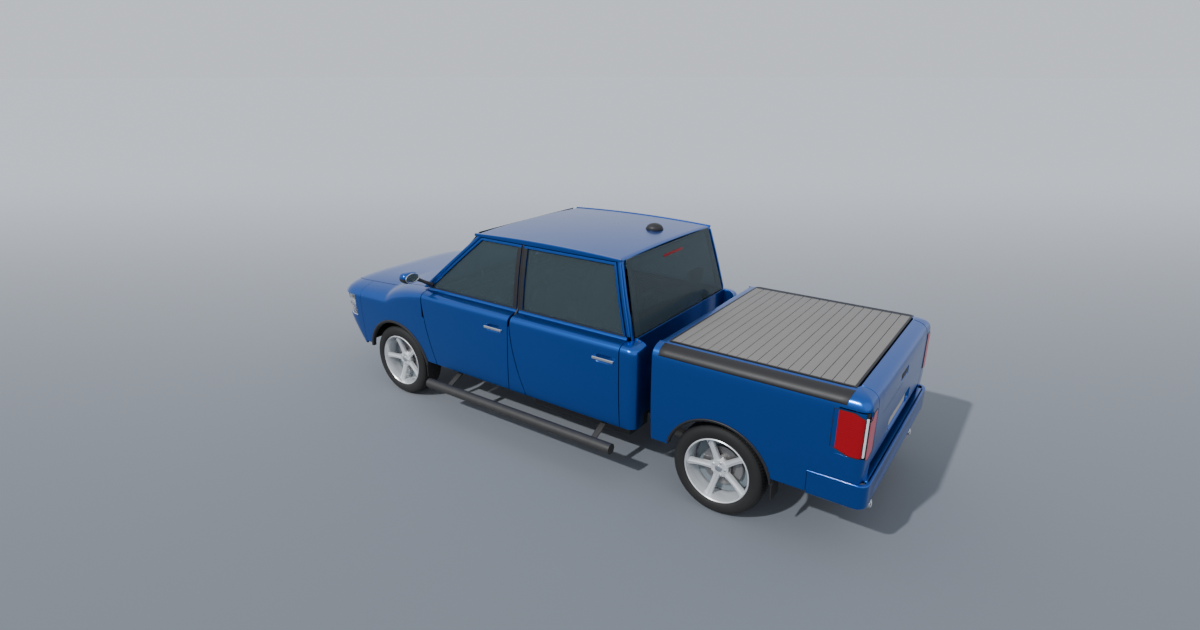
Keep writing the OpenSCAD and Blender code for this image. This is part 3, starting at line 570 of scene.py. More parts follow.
BENDS = np.radians(np.concatenate([np.linspace(3, 36, 14), np.linspace(37, 48, 16)]))
FRAME_Z = np.concatenate([[BELT_Z - 0.015, BELT_Z - 0.005], np.linspace(BELT_Z, GLASS_TOP, 16),
                          np.linspace(GLASS_TOP, EAVES_Z, 4)[1:]])


def low_rows(bottom, n=26):
    """Heights from a lower edge up to the waist."""
    return np.linspace(bottom, WAIST, n)


SKIN_ROWS = len(low_rows(SILL)) + len(BENDS)
crown = crown_point(np.array(0.0), BENDS)
section_z = np.concatenate([low_rows(SILL), crown[:, 2], FRAME_Z])
section_y = np.concatenate([flank(low_rows(SILL)), crown[:, 1], glass_y(FRAME_Z)])
knees = np.radians([0, 22, 34, 40, 43, 46, 48])
inner_z = np.concatenate([low_rows(SILL), np.interp(BENDS, knees, [0.995, 1.110, 1.180, 1.212, 1.228, 1.240, 1.252]),
                          FRAME_Z])
inner_y = np.concatenate([flank(low_rows(SILL)) - DOOR_DEPTH,
                          np.interp(BENDS, knees, [0.905, 0.902, 0.900, 0.896, 0.888, 0.876, 0.858]),
                          glass_y(FRAME_Z) - FRAME_DEPTH])
print("section rows", len(section_z), "widest", section_y.max())


# %% Door shells
def columns(a, b, leg_a, leg_b, n):
    """Lengths along the rows from edge a to edge b: a few in each leg of the window frame, the rest between."""
    few, many = np.linspace(0, 1, 4)[:, None], np.linspace(0, 1, n)[:, None]
    return np.concatenate([a + leg_a * few[:-1], lerp(a + leg_a, b - leg_b, many), b - leg_b + leg_b * few[1:]])


def swell(x, z, x0, z0, half_x, half_z, power=4):
    """A smooth hump of height 1 over a rounded rectangle, falling to 0 at its edge."""
    d = np.abs((x - x0) / half_x) ** power + np.abs((z - z0) / half_z) ** power
    return np.clip(1 - d, 0, 1) ** 0.5


def door_shell(edge_a, edge_b, leg_a, leg_b, handle_x, n=92):
    """A door: its outer skin with a cup behind the handle, its inner skin set in at the edges, a window's hole."""
    x = columns(edge_a(section_z), edge_b(section_z), leg_a, leg_b, n)
    lap = 0.010
    x_in = columns(edge_a(section_z) + lap, edge_b(section_z) - lap, leg_a - lap, leg_b - lap, n)
    y = section_y - 0.020 * swell(x, section_z, handle_x, 1.112, 0.085, 0.036)
    outer, inner = grid_of(x, y, section_z), grid_of(x_in, inner_y, inner_z)
    keep = np.ones((x.shape[0] - 1, x.shape[1] - 1), bool)
    rows = (section_z[:-1] > BELT_Z - 0.001) & (section_z[1:] < GLASS_TOP + 0.001)
    keep[3:-3, rows] = False
    return panel(outer, inner, keep)


FRONT_LEGS, REAR_LEGS = (0.044, 0.036), (0.022, 0.044)
FRONT_HANDLE, REAR_HANDLE = REAR_AXLE + 2.330, REAR_AXLE + 1.068
SIDES = (("left", 1), ("right", -1))


def on_side(shape, side):
    """The left shape, or its mirror image on the right."""
    return shape if side > 0 else mirrored(shape)


def door_card(edge_a, edge_b):
    """The trim over a door's inner face: a thin moulded sheet with a raised armrest and a map pocket."""
    z = np.linspace(0.60, 1.235, 40)
    x = lerp(edge_a(z) + 0.05, edge_b(z) - 0.05, np.linspace(0, 1, 60)[:, None])
    y = np.interp(z, inner_z[:SKIN_ROWS], inner_y[:SKIN_ROWS])
    proud = 0.004 + 0.045 * swell(x, z, x.mean() + 0.02, 1.02, 0.30, 0.045) \
        + 0.022 * swell(x, z, x.mean() + 0.1, 0.72, 0.26, 0.07)
    return panel(grid_of(x, y - 0.0005, z), grid_of(x, y - 0.0005 - proud, z))


for side, s in SIDES:
    for which, edge_a, edge_b, legs, handle_x in (("front", split_front, front_cut, FRONT_LEGS, FRONT_HANDLE),
                                                  ("rear", rear_cut, split_rear, REAR_LEGS, REAR_HANDLE)):
        name = f"{side}_{which}_door"
        shell = on_side(door_shell(edge_a, edge_b, *legs, handle_x), s)
        piece(f"{name}_shell", shell, paint, name, [name], bevel=0.0025, inner=cabin)
        piece(f"{name}_card", on_side(door_card(edge_a, edge_b), s), cabin, name, bevel=0.003)
print("doors made")


# %% [markdown]
# The windows sit 16 mm inside their frames. The post between them carries a black strip, a rubber seal runs along
# the belt, and the handles are bright bars held off the door by two feet, over the cup in the skin.

# %% Side windows, strips and handles
def side_window(edge_a, edge_b, legs):
    """A pane parallel to the glasshouse, 6 mm thick."""
    z = np.linspace(BELT_Z + 0.001, GLASS_TOP - 0.001, 20)
    x = lerp(edge_a(z) + legs[0] + 0.001, edge_b(z) - legs[1] - 0.001, np.linspace(0, 1, 30)[:, None])
    grid = grid_of(x, glass_y(z) - 0.016, z)
    return panel(grid, grid - [0, 0.006, 0])


def frame_strip(edge, a, b, z0, z1, proud=0.0015, thick=0.0014):
    """A strip lying on the window frame, from a to b past an edge."""
    z = np.linspace(z0, z1, 24)
    x = edge(z) + np.linspace(a, b, 5)[:, None]
    grid = grid_of(x, glass_y(z) + proud, z)
    return panel(grid, grid - [0, thick, 0])


def belt_seal(edge_a, edge_b):
    """The rubber lip along the window's lower edge: a small rounded section swept along the belt."""
    x = np.linspace(edge_a(BELT_Z) + 0.006, edge_b(BELT_Z) - 0.006, 60)
    return tube(grid_of(x, glass_y(BELT_Z) + 0.001, BELT_Z - 0.001), 0.0055, 12)


def handle(x0):
    """A bar 215 mm long with rounded ends on two feet, standing 30 mm off the door."""
    bar = rounded_box((x0 - 0.108, 1.018, 1.098), (x0 + 0.108, 1.032, 1.124), 0.0065, 5)
    feet = [rounded_box((x - 0.016, 0.996, 1.103), (x + 0.016, 1.022, 1.119), 0.005) for x in (x0 - 0.092, x0 + 0.092)]
    shape = join([bar] + feet)
    shape[0][:, 1] -= HALF_WIDTH - np.interp(1.111, crown[:, 2], crown[:, 1])
    return shape


for side, s in SIDES:
    for which, edge_a, edge_b, legs, x0 in (("front", split_front, front_cut, FRONT_LEGS, FRONT_HANDLE),
                                            ("rear", rear_cut, split_rear, REAR_LEGS, REAR_HANDLE)):
        body, node = f"{side}_{which}_door", f"{side}_{which}_glass"
        piece(f"{node}_pane", on_side(side_window(edge_a, edge_b, legs), s), glass, body, [node])
        strip = frame_strip(edge_a, 0.001, legs[0], BELT_Z, GLASS_TOP) if which == "front" \
            else frame_strip(edge_b, -legs[1], -0.001, BELT_Z, GLASS_TOP)
        piece(f"{body}_post_strip", on_side(strip, s), trim, body)
        piece(f"{body}_belt_seal", on_side(belt_seal(edge_a, edge_b), s), seal, body)
        piece(f"{body}_handle", on_side(handle(x0), s), chrome, body)


# %% [markdown]
# ## The cab around the doors
# Behind the rear door the skin turns round the cab's corner and across its back. A fixed cover fills the wedge
# between the doors. Both come from the same section as the doors, so the light runs across them without a step.

# %% Rear quarter and door post
def rear_quarter():
    """The section carried along x to the corner, round a quarter circle that tightens where the section has
    rounded in, and in to the wall under the rear window, which is set forward between the corners."""
    y, z = section_y[:SKIN_ROWS], section_z[:SKIN_ROWS]
    edge_x = REAR_DOOR_X - GAP
    inset = HALF_WIDTH - y
    r = np.minimum(0.090, edge_x - 0.002 - CAB_REAR_X - inset)
    tail = lerp(0.540, BELT_Z - 0.014, (z - SILL) / (z[-1] - SILL))
    up = np.concatenate([np.zeros(SKIN_ROWS - len(BENDS)), np.sin(BENDS)])
    wall_x = CAB_REAR_X + 0.100

    def grid(d):
        rows = [grid_of(edge_x, y - d, z - d * up)]
        for a in np.linspace(0, np.pi / 2, 17):
            x = CAB_REAR_X + inset + r - (r - d) * np.sin(a)
            rows.append(np.stack([x, y - r + (r - d) * np.cos(a), z - d * up], -1))
        for across in (0.84, 0.83, 0.80, 0.6, 0.4, 0.2, 0.0):
            share = np.clip((0.84 - across) / 0.01, 0, 1)
            x = lerp(CAB_REAR_X + inset, wall_x, share) + d
            rows.append(np.stack([x, np.minimum(across + 0 * y, y - r - 0.001), tail], -1))
        return np.array(rows)
    return panel(grid(0), grid(0.014))


def door_post():
    """The cover between the doors, as wide as the gap between their edges at each height."""
    z = np.concatenate([low_rows(SILL), np.linspace(WAIST, 1.165, 10)[1:]])
    y = np.where(z <= WAIST, flank(z), HALF_WIDTH * crown_scale(z, SHOULDER, 12))
    x = lerp(split_rear(z) + GAP, split_front(z) - GAP, np.linspace(0, 1, 6)[:, None])
    grid = grid_of(x, y, z)
    return panel(grid, grid - [0, 0.060, 0])


piece("cab_skin", pair(join([rear_quarter(), door_post()])), paint, "chassis", ["cab_panels"],
      bevel=0.0025, inner=cabin)


# %% [markdown]
# The pillars and roof rails are slim bars. Each is a rounded rectangle swept in a straight line between two
# heights, and the rail follows the roof's gentle arch.

# %% Pillars, rails and roof
ROOF_TOP, ROOF_HALF = high("roof_panel")[2], 0.786
ROOF_FRONT, ROOF_REAR = high("roof_panel")[0], low("roof_panel")[0]


def roof_z(x, y):
    """Height of the roof: highest in the middle, falling with the square of the distance each way."""
    return 1.968 - 0.018 * (y / 0.8) ** 2 - 0.022 * ((x - 0.04) / 0.84) ** 2


def rounded_rectangle(width, height, radius, n=4):
    """Outline of a rounded rectangle about the origin, anticlockwise."""
    a = np.concatenate([np.linspace(0, np.pi / 2, n + 1) + k * np.pi / 2 for k in range(4)])
    sx, sy = np.repeat([1, -1, -1, 1], n + 1), np.repeat([1, 1, -1, -1], n + 1)
    return np.stack([sx * (width / 2 - radius) + radius * np.cos(a),
                     sy * (height / 2 - radius) + radius * np.sin(a)], 1)


def swept(outline, centres, side, up):
    """An outline carried along a path of centres, with its two axes given at each centre; flat caps close it."""
    centres, side, up = (np.asarray(v, float) for v in (centres, side, up))
    points = centres[:, None] + outline[None, :, :1] * side[:, None] + outline[None, :, 1:] * up[:, None]
    rows, cols = points.shape[:2]
    caps = np.stack([np.arange(cols)[::-1], (rows - 1) * cols + np.arange(cols)])
    return points.reshape(-1, 3), [grid_faces(rows, cols, wrap_cols=True), caps]


def pillar(edge, z0, z1, a, b, inset, depth):
    """A bar in the plane of the side windows, from a to b past an edge and inset from the outer face."""
    z = np.linspace(z0, z1, 12)
    centre = np.stack([edge(z) + (a + b) / 2, glass_y(z) - inset - depth / 2, z], -1)
    flat = np.tile([1.0, 0, 0], (12, 1))
    return swept(rounded_rectangle(b - a, depth, 0.010), centre, flat, np.tile([0, 1.0, 0], (12, 1)))


def roof_rail():
    """The rail along the roof's edge: its top stands 6 mm over the roof."""
    x = np.linspace(ROOF_REAR + 0.002, ROOF_FRONT - 0.004, 40)
    top = roof_z(x, ROOF_HALF) + 0.006
    bottom = EAVES_Z + 0.006
    centre = np.stack([x, np.full_like(x, 0.8045), (top + bottom) / 2], -1)
    outline = rounded_rectangle(1, 1, 0.16)
    points = centre[:, None] + outline[None, :, :1] * [[[0, 0.029, 0]]] \
        + outline[None, :, 1:] * (top - bottom)[:, None, None] * [[[0, 0, 1.0]]]
    caps = np.stack([np.arange(20)[::-1], 39 * 20 + np.arange(20)])
    return points.reshape(-1, 3), [grid_faces(40, 20, wrap_cols=True), caps]


TOP = EAVES_Z + 0.009
bars = join([pillar(screen_edge, BELT_Z - 0.018, TOP, 0.009, 0.062, 0.002, 0.062),
             pillar(quarter_edge, BELT_Z, TOP, -0.044, -0.008, 0.002, 0.060),
             pillar(split_rear, 1.216, TOP, -0.050, 0.070, 0.054, 0.034),
             rounded_box((0.150, 0.812, 0.565), (0.330, 0.852, 1.230), 0.008), roof_rail()])
headers = join([rounded_box((ROOF_REAR + 0.003, -0.8, TOP - 0.022), (ROOF_REAR + 0.044, 0.8, TOP), 0.006),
                rounded_box((ROOF_FRONT - 0.066, -0.8, TOP - 0.022), (ROOF_FRONT - 0.022, 0.8, TOP), 0.006)])
piece("cab_pillars", join([pair(bars), headers]), paint, "chassis", ["cab_frame"])


def roof_skin():
    """The roof's sheet, with a pressed lip that turns down along its front and rear edges."""
    x, y = np.linspace(ROOF_REAR, ROOF_FRONT, 90)[:, None], np.linspace(ROOF_HALF, -ROOF_HALF, 70)
    edge = np.minimum(x - ROOF_REAR, ROOF_FRONT - x) / 0.035
    drop = 0.008 * np.clip(1 - edge, 0, 1) ** 2
    grid = grid_of(x, y, roof_z(x, y) - drop)
    under = grid - [0, 0, 0.004]
    under[:, :, 2] = np.minimum(under[:, :, 2], roof_z(x, y) - 0.012)
    return panel(grid, under)


piece("roof_skin", roof_skin(), paint, "chassis", ["roof_panel"], bevel=0.002, inner=cabin)


def antenna():
    """A low dome on a short skirt, turned round the vertical."""
    a = np.linspace(0, np.pi / 2, 12)
    r = (high("roof_antenna")[0] - low("roof_antenna")[0]) / 2
    tall = high("roof_antenna")[2] - low("roof_antenna")[2]
    profile = [(0.0005, 0), (r - 0.002, 0), (r, 0.002), (r, 0.010), (r - 0.004, 0.012)] \
        + [((r - 0.006) * math.cos(t), 0.012 + (tall - 0.012) * math.sin(t)) for t in a[:-1]] + [(0.0005, tall)]
    x, y = (low("roof_antenna")[:2] + high("roof_antenna")[:2]) / 2
    return lathe(profile, (x, y, roof_z(x, y) - 0.002), "z", 64)


piece("roof_puck", antenna(), trim, "chassis", ["roof_antenna"])


# %% [markdown]
# The windscreen and the rear window are bowed sheets. The windscreen has a black printed border, drawn as a thin frame
# just inside the glass; the rear window has a pale band inside each side edge and carries the high brake lamp.

# %% Windscreen and rear window
def screen(half_low, half_high, z0, z1, x_of, depth, nu=40, nt=30):
    """A sheet across the cab: u runs across, t runs up, and x_of gives its length for each."""
    u, t = np.linspace(-1, 1, nu)[:, None], np.linspace(0, 1, nt)
    y = u * lerp(half_low, half_high, t)
    return grid_of(x_of(y, t) + depth, y, lerp(z0, z1, t))


def screen_x(y, t):
    """Length of the windscreen: it leans back, and bows forward in the middle."""
    return lerp(1.596, 0.886, t) - lerp(0.066, 0.012, t) * (y / 0.850) ** 2


def rear_x_of(y, t):
    """Length of the rear window: a plane that leans forward to the roof."""
    return lerp(-0.968, -0.812, t) + 0 * y


def border(layer_of, wide=2):
    """The printed frame: the outer cells of the same sheet, as a thin wall of its own."""
    outer, inner = layer_of(0), layer_of(1)
    keep = np.ones((outer.shape[0] - 1, outer.shape[1] - 1), bool)
    keep[wide:-wide, wide:-wide] = False
    return panel(outer, inner, keep)


def pane(sizes, x_of, thick):
    """The glass itself: a sheet and the same sheet moved in by its thickness."""
    return panel(screen(*sizes, x_of, 0), screen(*sizes, x_of, thick))


WINDSCREEN, REAR_WINDOW = (0.800, 0.742, 1.262, 1.936), (0.826, 0.742, 1.294, 1.924)
piece("windscreen_glass", pane(WINDSCREEN, screen_x, -0.007), glass, "chassis", ["windshield"])
piece("windscreen_border", border(lambda k: screen(0.798, 0.740, 1.264, 1.934, screen_x, -0.0085 - 0.0012 * k)),
      gloss_black, "chassis")
piece("rear_window_glass", pane(REAR_WINDOW, rear_x_of, 0.007), glass, "chassis", ["rear_window"])
band = [screen(0.824, 0.740, 1.296, 1.922, rear_x_of, 0.0085 + 0.0012 * k)[:3] for k in (0, 1)]
piece("rear_window_bands", pair(panel(*band)), edge_band, "chassis")
BRAKE_Z = 1.835
brake_x = rear_x_of(0, (BRAKE_Z - REAR_WINDOW[2]) / (REAR_WINDOW[3] - REAR_WINDOW[2]))
brake = rounded_box((brake_x - 0.006, -0.17, BRAKE_Z - 0.011), (brake_x - 0.001, 0.17, BRAKE_Z + 0.011), 0.0024)
piece("high_brake_lens", brake, red_lens, "chassis")


def corner_trim():
    """The body-coloured strip between the cab's corner, the rear window and the last side pillar."""
    z = np.array([1.268, 1.288, 1.310, 1.40, 1.55, 1.70, 1.90])
    x0 = np.interp(z, [1.268, 1.310, 1.90], [-0.962, -0.962, -0.812])
    x = lerp(x0, quarter_edge(z) - 0.045, np.linspace(0, 1, 4)[:, None])
    grid = grid_of(x, np.minimum(glass_y(z) - 0.012, 0.872), z)
    return panel(grid, grid - [0, 0.020, 0])


piece("cab_corner_trim", pair(corner_trim()), paint, "chassis", bevel=0.002)


def middle_post():
    """The black cover between the front and rear windows, in the gap between the two door frames."""
    z = np.linspace(1.20, EAVES_Z + 0.003, 30)
    x = lerp(split_rear(z) + 0.0055, split_front(z) - 0.0055, np.linspace(0, 1, 4)[:, None])
    y = np.where(z > BELT_Z, glass_y(z), lerp(0.985, BELT_Y, np.clip((z - 1.20) / (BELT_Z - 1.20), 0, 1)))
    grid = grid_of(x, y - 0.004, z)
    return panel(grid, grid - [0, 0.030, 0])


piece("middle_post_covers", pair(middle_post()), trim, "chassis", bevel=0.002)


# %% [markdown]
# ## The front
# The nose is a rounded box in plan whose reach shrinks towards the ground and over the brow. The bonnet, the
# fenders and the nose cover are patches of this one dome, with a gap between them.

# %% Bonnet and fenders
NOSE_X = FRONT_X - NOSE_LENGTH * crown_scale(1.040, NOSE_TOP, 3)
BONNET_HALF, BONNET_REACH = 0.800, NOSE_LENGTH * 0.92
BONNET_REAR = FRONT_DOOR_X + 0.107


def dome_z(x, y):
    """Height of the dome over a point of the plan, by the superellipse of the section there."""
    p = crown_power(x)
    ahead = (np.clip(x - NOSE_X, 0, None) / NOSE_LENGTH) ** NOSE_POWER + (np.abs(y) / HALF_WIDTH) ** NOSE_POWER
    r = np.where(x > NOSE_X, ahead ** (1 / NOSE_POWER), np.abs(y) / HALF_WIDTH)
    return WAIST + (crown_top(x) - WAIST) * (1 - np.clip(r, 0, 1) ** p) ** (1 / p)


def bonnet_grid(down, set_in, n=80):
    """The bonnet: rows across, straight back to the windscreen and then stretched forward to the nose's
    superellipse, so that its front edge keeps an even gap to the nose cover."""
    t = np.linspace(1, -1, n)
    u = np.sign(t) * (1 - (1 - np.abs(t)) ** 1.8)
    half, reach = BONNET_HALF - set_in, BONNET_REACH - set_in
    x = np.linspace(BONNET_REAR + set_in, NOSE_X, 44)[:-1, None]
    back = np.stack(np.broadcast_arrays(x, half * u), -1)
    share = np.linspace(0, 1, 34)[:, None] ** 0.8
    ahead = NOSE_X + share * reach * (1 - np.abs(u) ** NOSE_POWER) ** (1 / NOSE_POWER)
    plan = np.concatenate([back, np.stack(np.broadcast_arrays(ahead, half * u), -1)])
    x, y = plan[..., 0], plan[..., 1]
    return np.stack([x, y, dome_z(x, y) - down], -1)


piece("bonnet_skin", panel(bonnet_grid(0, 0), bonnet_grid(0.022, 0.006)), paint, "bonnet", ["bonnet"],
      bevel=0.0025, inner=under_paint)


def arch_height(x, axle, bottom):
    """Lower edge of a panel over a wheel: a circle round the hub, cut off at the panel's own lower edge."""
    d = np.abs(x - axle)
    return np.where(d < ARCH, np.maximum(bottom, TYRE_RADIUS + np.sqrt(np.clip(ARCH**2 - d**2, 0, None))), bottom)


def fender():
    """A fender: columns from the door's edge over the wheel to the nose, each up the side and over the shoulder."""
    start = FRONT_AXLE - math.sqrt(ARCH**2 - (SILL - TYRE_RADIUS) ** 2)
    arc = FRONT_AXLE - (FRONT_AXLE - start) * np.cos(np.linspace(0, np.pi, 50))
    end = lerp(2 * FRONT_AXLE - start, NOSE_X - 0.002, np.array([0.3, 0.65, 1]))
    x = np.concatenate([np.full(8, start), arc, end])[:, None]
    t = np.concatenate([np.linspace(0, 0.9, 8), np.ones(53)])[:, None]
    z = lerp(arch_height(x, FRONT_AXLE, SILL), WAIST, np.linspace(0, 1, 24))
    side = np.stack([lerp(front_cut(z) + GAP, x, t), flank(z), z], -1)
    u = (BONNET_HALF + SEAM) / HALF_WIDTH
    at = lerp(FRONT_DOOR_X + GAP, x, t)
    p = crown_power(at)
    top_angle = np.arctan((1 - u**p) ** (1 / p) / u)
    a = top_angle * np.concatenate([np.linspace(0.06, 0.7, 12), np.linspace(0.74, 1, 14)])
    over = crown_point(at, a)
    depth = 0.012
    side_in = side - [0, depth, 0]
    over_in = over - depth * np.stack([0 * a, np.cos(a), np.sin(a)], -1)
    over_in[..., 1] = np.maximum(over_in[..., 1], BONNET_HALF + SEAM)
    return panel(np.concatenate([side, over], 1), np.concatenate([side_in, over_in], 1))


piece("fender_skins", pair(fender()), paint, "chassis", ["front_fenders"], bevel=0.0025,
      inner=frame_black)


# %% [markdown]
# The nose cover has openings for the grille and the lamps. The grille is a dark net behind horizontal bars that
# follow the nose, and each lamp is a housing with two bowls behind a clear lens.

# %% Nose cover, grille and headlamps
LAMP_LOW, LAMP_HIGH = 0.790, 1.040


def nose_point(a, z, depth):
    """Point of the nose at angle a round from straight ahead, at height z, set in by depth."""
    a, z = np.broadcast_arrays(np.asarray(a, float), np.asarray(z, float))
    r = round_off(a, NOSE_POWER)
    k = crown_scale(z, crown_top(NOSE_X + NOSE_LENGTH * np.cos(a) * r), 3)
    tuck = 1 - NOSE_TUCK * (np.clip(WAIST - z, 0, None) / (WAIST - 0.500)) ** 2
    side = np.where(z < WAIST, flank(z), HALF_WIDTH * k)
    reach = NOSE_LENGTH * tuck * k - depth
    return np.stack([NOSE_X + reach * np.cos(a) * r, (side - depth) * np.sin(a) * r, z], -1)


def nose_cover():
    """The cover: rings round the nose from its lower edge to the bonnet's outline, with the openings left out."""
    a = np.radians(np.concatenate([np.linspace(-90, 90, 121), [-78, -48, -40, -31, 31, 40, 48, 78]]))
    a = np.unique(np.round(a, 6))
    z = np.concatenate([np.linspace(0.480, 0.785, 20), [LAMP_LOW], np.linspace(0.80, 1.03, 14), [LAMP_HIGH],
                        [1.050, 1.060, 1.072]])

    def grid(depth):
        rings = nose_point(a[:, None], z, depth)
        r = round_off(a, NOSE_POWER)
        edge = np.stack([NOSE_X + (BONNET_REACH + SEAM) * np.cos(a) * r, (BONNET_HALF + SEAM) * np.sin(a) * r], -1)
        plan = lerp(rings[:, -1:, :2], edge[:, None], np.linspace(0, 1, 9)[1:, None])
        brow = np.concatenate([plan, dome_z(plan[..., :1], plan[..., 1:]) - depth], -1)
        return np.concatenate([rings, brow], 1)
    middle = np.degrees(np.abs(a[1:] + a[:-1]) / 2)[:, None]
    height = np.concatenate([z, np.linspace(1.08, 1.12, 8)])
    inside = ((height[:-1] > LAMP_LOW - 0.001) & (height[1:] < LAMP_HIGH + 0.001))[None, :]
    opening = inside & ((middle < 31) | ((middle > 48) & (middle < 78)))
    outer, inner = grid(0), grid(0.022)
    for cover in (outer, inner):
        low_air = swell(cover[..., 1], cover[..., 2], 0, 0.605, 0.52, 0.055, 8)
        cover[..., 0] -= np.where(cover[..., 0] > NOSE_X, 0.030 * low_air, 0)
    return panel(outer, inner, ~opening)


piece("nose_cover", nose_cover(), paint, "chassis", ["front_bumper"], bevel=0.0025, inner=frame_black)


def nose_wall(a0, a1, z0, z1, depth, thick, na=24, nz=10):
    """A patch of the nose's surface between two angles in degrees, as a wall of its own."""
    a, z = np.radians(np.linspace(a0, a1, na))[:, None], np.linspace(z0, z1, nz)
    return panel(nose_point(a, z, depth), nose_point(a, z, depth + thick))


def grille_bar(z, half):
    """A grille bar: an aerofoil outline carried along the nose at one height."""
    a = np.radians(np.linspace(-32, 32, 60))
    path = nose_point(a, z, 0.020)
    across = path - nose_point(a, z, 0.040)
    across /= np.linalg.norm(across, axis=1)[:, None]
    t = np.linspace(0, 2 * np.pi, 16, endpoint=False)
    outline = np.stack([0.016 * np.cos(t), half * np.sin(t) * (1 + 0.3 * np.cos(t))], 1)
    return swept(outline, path, across, np.tile([0, 0, 1.0], (60, 1)))


net_a = np.radians(np.linspace(-33, 33, 45))
net = [tube(nose_point(np.full(2, a), np.array([0.795, 1.035]), 0.033), 0.0022, 6) for a in net_a] \
    + [tube(nose_point(net_a, np.full(45, z), 0.033), 0.0022, 6) for z in np.linspace(0.80, 1.03, 20)]
piece("grille_back", nose_wall(-34, 34, 0.797, 1.033, 0.040, 0.008), trim, "chassis", ["grille"])
piece("grille_net", join(net), gloss_black, "chassis")
piece("grille_bars", join([grille_bar(z, 0.0085) for z in np.linspace(0.828, 1.004, 5)]), gloss_black, "chassis")


def bowl(a, z, radius):
    """A lamp's bowl: a parabola turned about the direction straight ahead, open at the front."""
    r = np.linspace(0.002, 1, 14) * radius
    deep = 0.045
    profile = np.concatenate([np.stack([r, deep * (r / radius) ** 2], 1),
                              np.stack([r[::-1] + 0.0015, deep * (r[::-1] / radius) ** 2 - 0.002], 1)])
    x, y, height = nose_point(math.radians(a), z, 0.080)
    return lathe(profile, (x, y, height), "x", 48)


lamp_back = join([nose_wall(44, 82, 0.797, 1.033, 0.083, 0.004)])
lamp_rim = join([tube(np.concatenate([
    nose_point(np.radians(np.linspace(49, 77, 24)), np.full(24, 0.798), 0.016),
    nose_point(np.full(10, math.radians(77)), np.linspace(0.80, 1.03, 10), 0.016),
    nose_point(np.radians(np.linspace(77, 49, 24)), np.full(24, 1.032), 0.016),
    nose_point(np.full(10, math.radians(49)), np.linspace(1.03, 0.80, 10), 0.016)]), 0.004, 8, closed=True)])
piece("headlamp_backs", pair(lamp_back), gloss_black, "chassis", ["headlamps"])
piece("headlamp_bowls", pair(join([bowl(56, 0.915, 0.058), bowl(68, 0.915, 0.050)])), chrome, "chassis")
bulbs = join([rounded_box(nose_point(math.radians(a), 0.915, 0.075) - 0.012,
                          nose_point(math.radians(a), 0.915, 0.045) + 0.012, 0.011) for a in (56, 68)])
piece("headlamp_bulbs", pair(bulbs), white_lens, "chassis")
piece("headlamp_rims", pair(lamp_rim), silver, "chassis")
piece("headlamp_lenses", pair(nose_wall(47, 79, 0.792, 1.038, 0.0235, 0.003)), clear_lens, "chassis")
print("front made")


# %% [markdown]
# ## The bed
# The bed's sides use the same flank, with a taller and rounder shoulder. In plan they turn a round corner and run
# a little way across the back, where the tailgate takes over. The lamps sit in an opening that goes round the
# corner.

# %% Bed sides
BED_POWER, CORNER, BED_LOW = 10, 0.068, SILL
BED_STEP_X = REAR_AXLE - 0.714
LAMP_END_X = REAR_AXLE - 0.850
LAMP_Z = (0.893, 1.242)


def crown_inset(a):
    """Inset and height of the bed's shoulder at angle a."""
    r = round_off(a, BED_POWER)
    return HALF_WIDTH * (1 - np.cos(a) * r), WAIST + (RAIL_TOP - WAIST) * np.sin(a) * r


LAMP_TOP_ANGLE = math.radians(34)
bed_turns = np.concatenate([np.linspace(0, LAMP_TOP_ANGLE, 19)[1:], np.radians(np.linspace(35, 48.3, 18))])
turn_inset, turn_z = crown_inset(bed_turns)
inner_knees = np.radians([0, 15, 26, 34, 39, 42, 44.5, 46.6, 48.3])
turn_in = np.interp(bed_turns, inner_knees, [0, 0, 0, 0, 0, 0.006, 0.024, 0.050, 0.090])
turn_in_z = np.interp(bed_turns, inner_knees, [0.995, 1.090, 1.180, 1.240, 1.275, 1.294, 1.306, 1.312, 1.316])


def bed_section(bottom, n=25):
    """Inset and height of the section from a lower edge to the top, for each column's own lower edge."""
    z = lerp(np.asarray(bottom, float)[..., None], WAIST, np.linspace(0, 1, n))
    inset = HALF_WIDTH - flank(np.maximum(z, SILL))
    shape = z.shape[:-1] + bed_turns.shape
    return np.concatenate([inset, np.broadcast_to(turn_inset, shape)], -1), \
        np.concatenate([z, np.broadcast_to(turn_z, shape)], -1)


def bed_arch(x):
    """Height of the bed side's lower edge: an arch over the wheel, and higher behind the bumper's end."""
    return np.where(x < BED_STEP_X, 0.690, arch_height(x, REAR_AXLE, BED_LOW))


def round_corner(a, inset, r):
    """Plan of the rear corner: a quarter circle of radius r on a section inset from the full width."""
    return BED_REAR_X + inset + r * (1 - np.sin(a)), HALF_WIDTH - inset - r * (1 - np.cos(a))


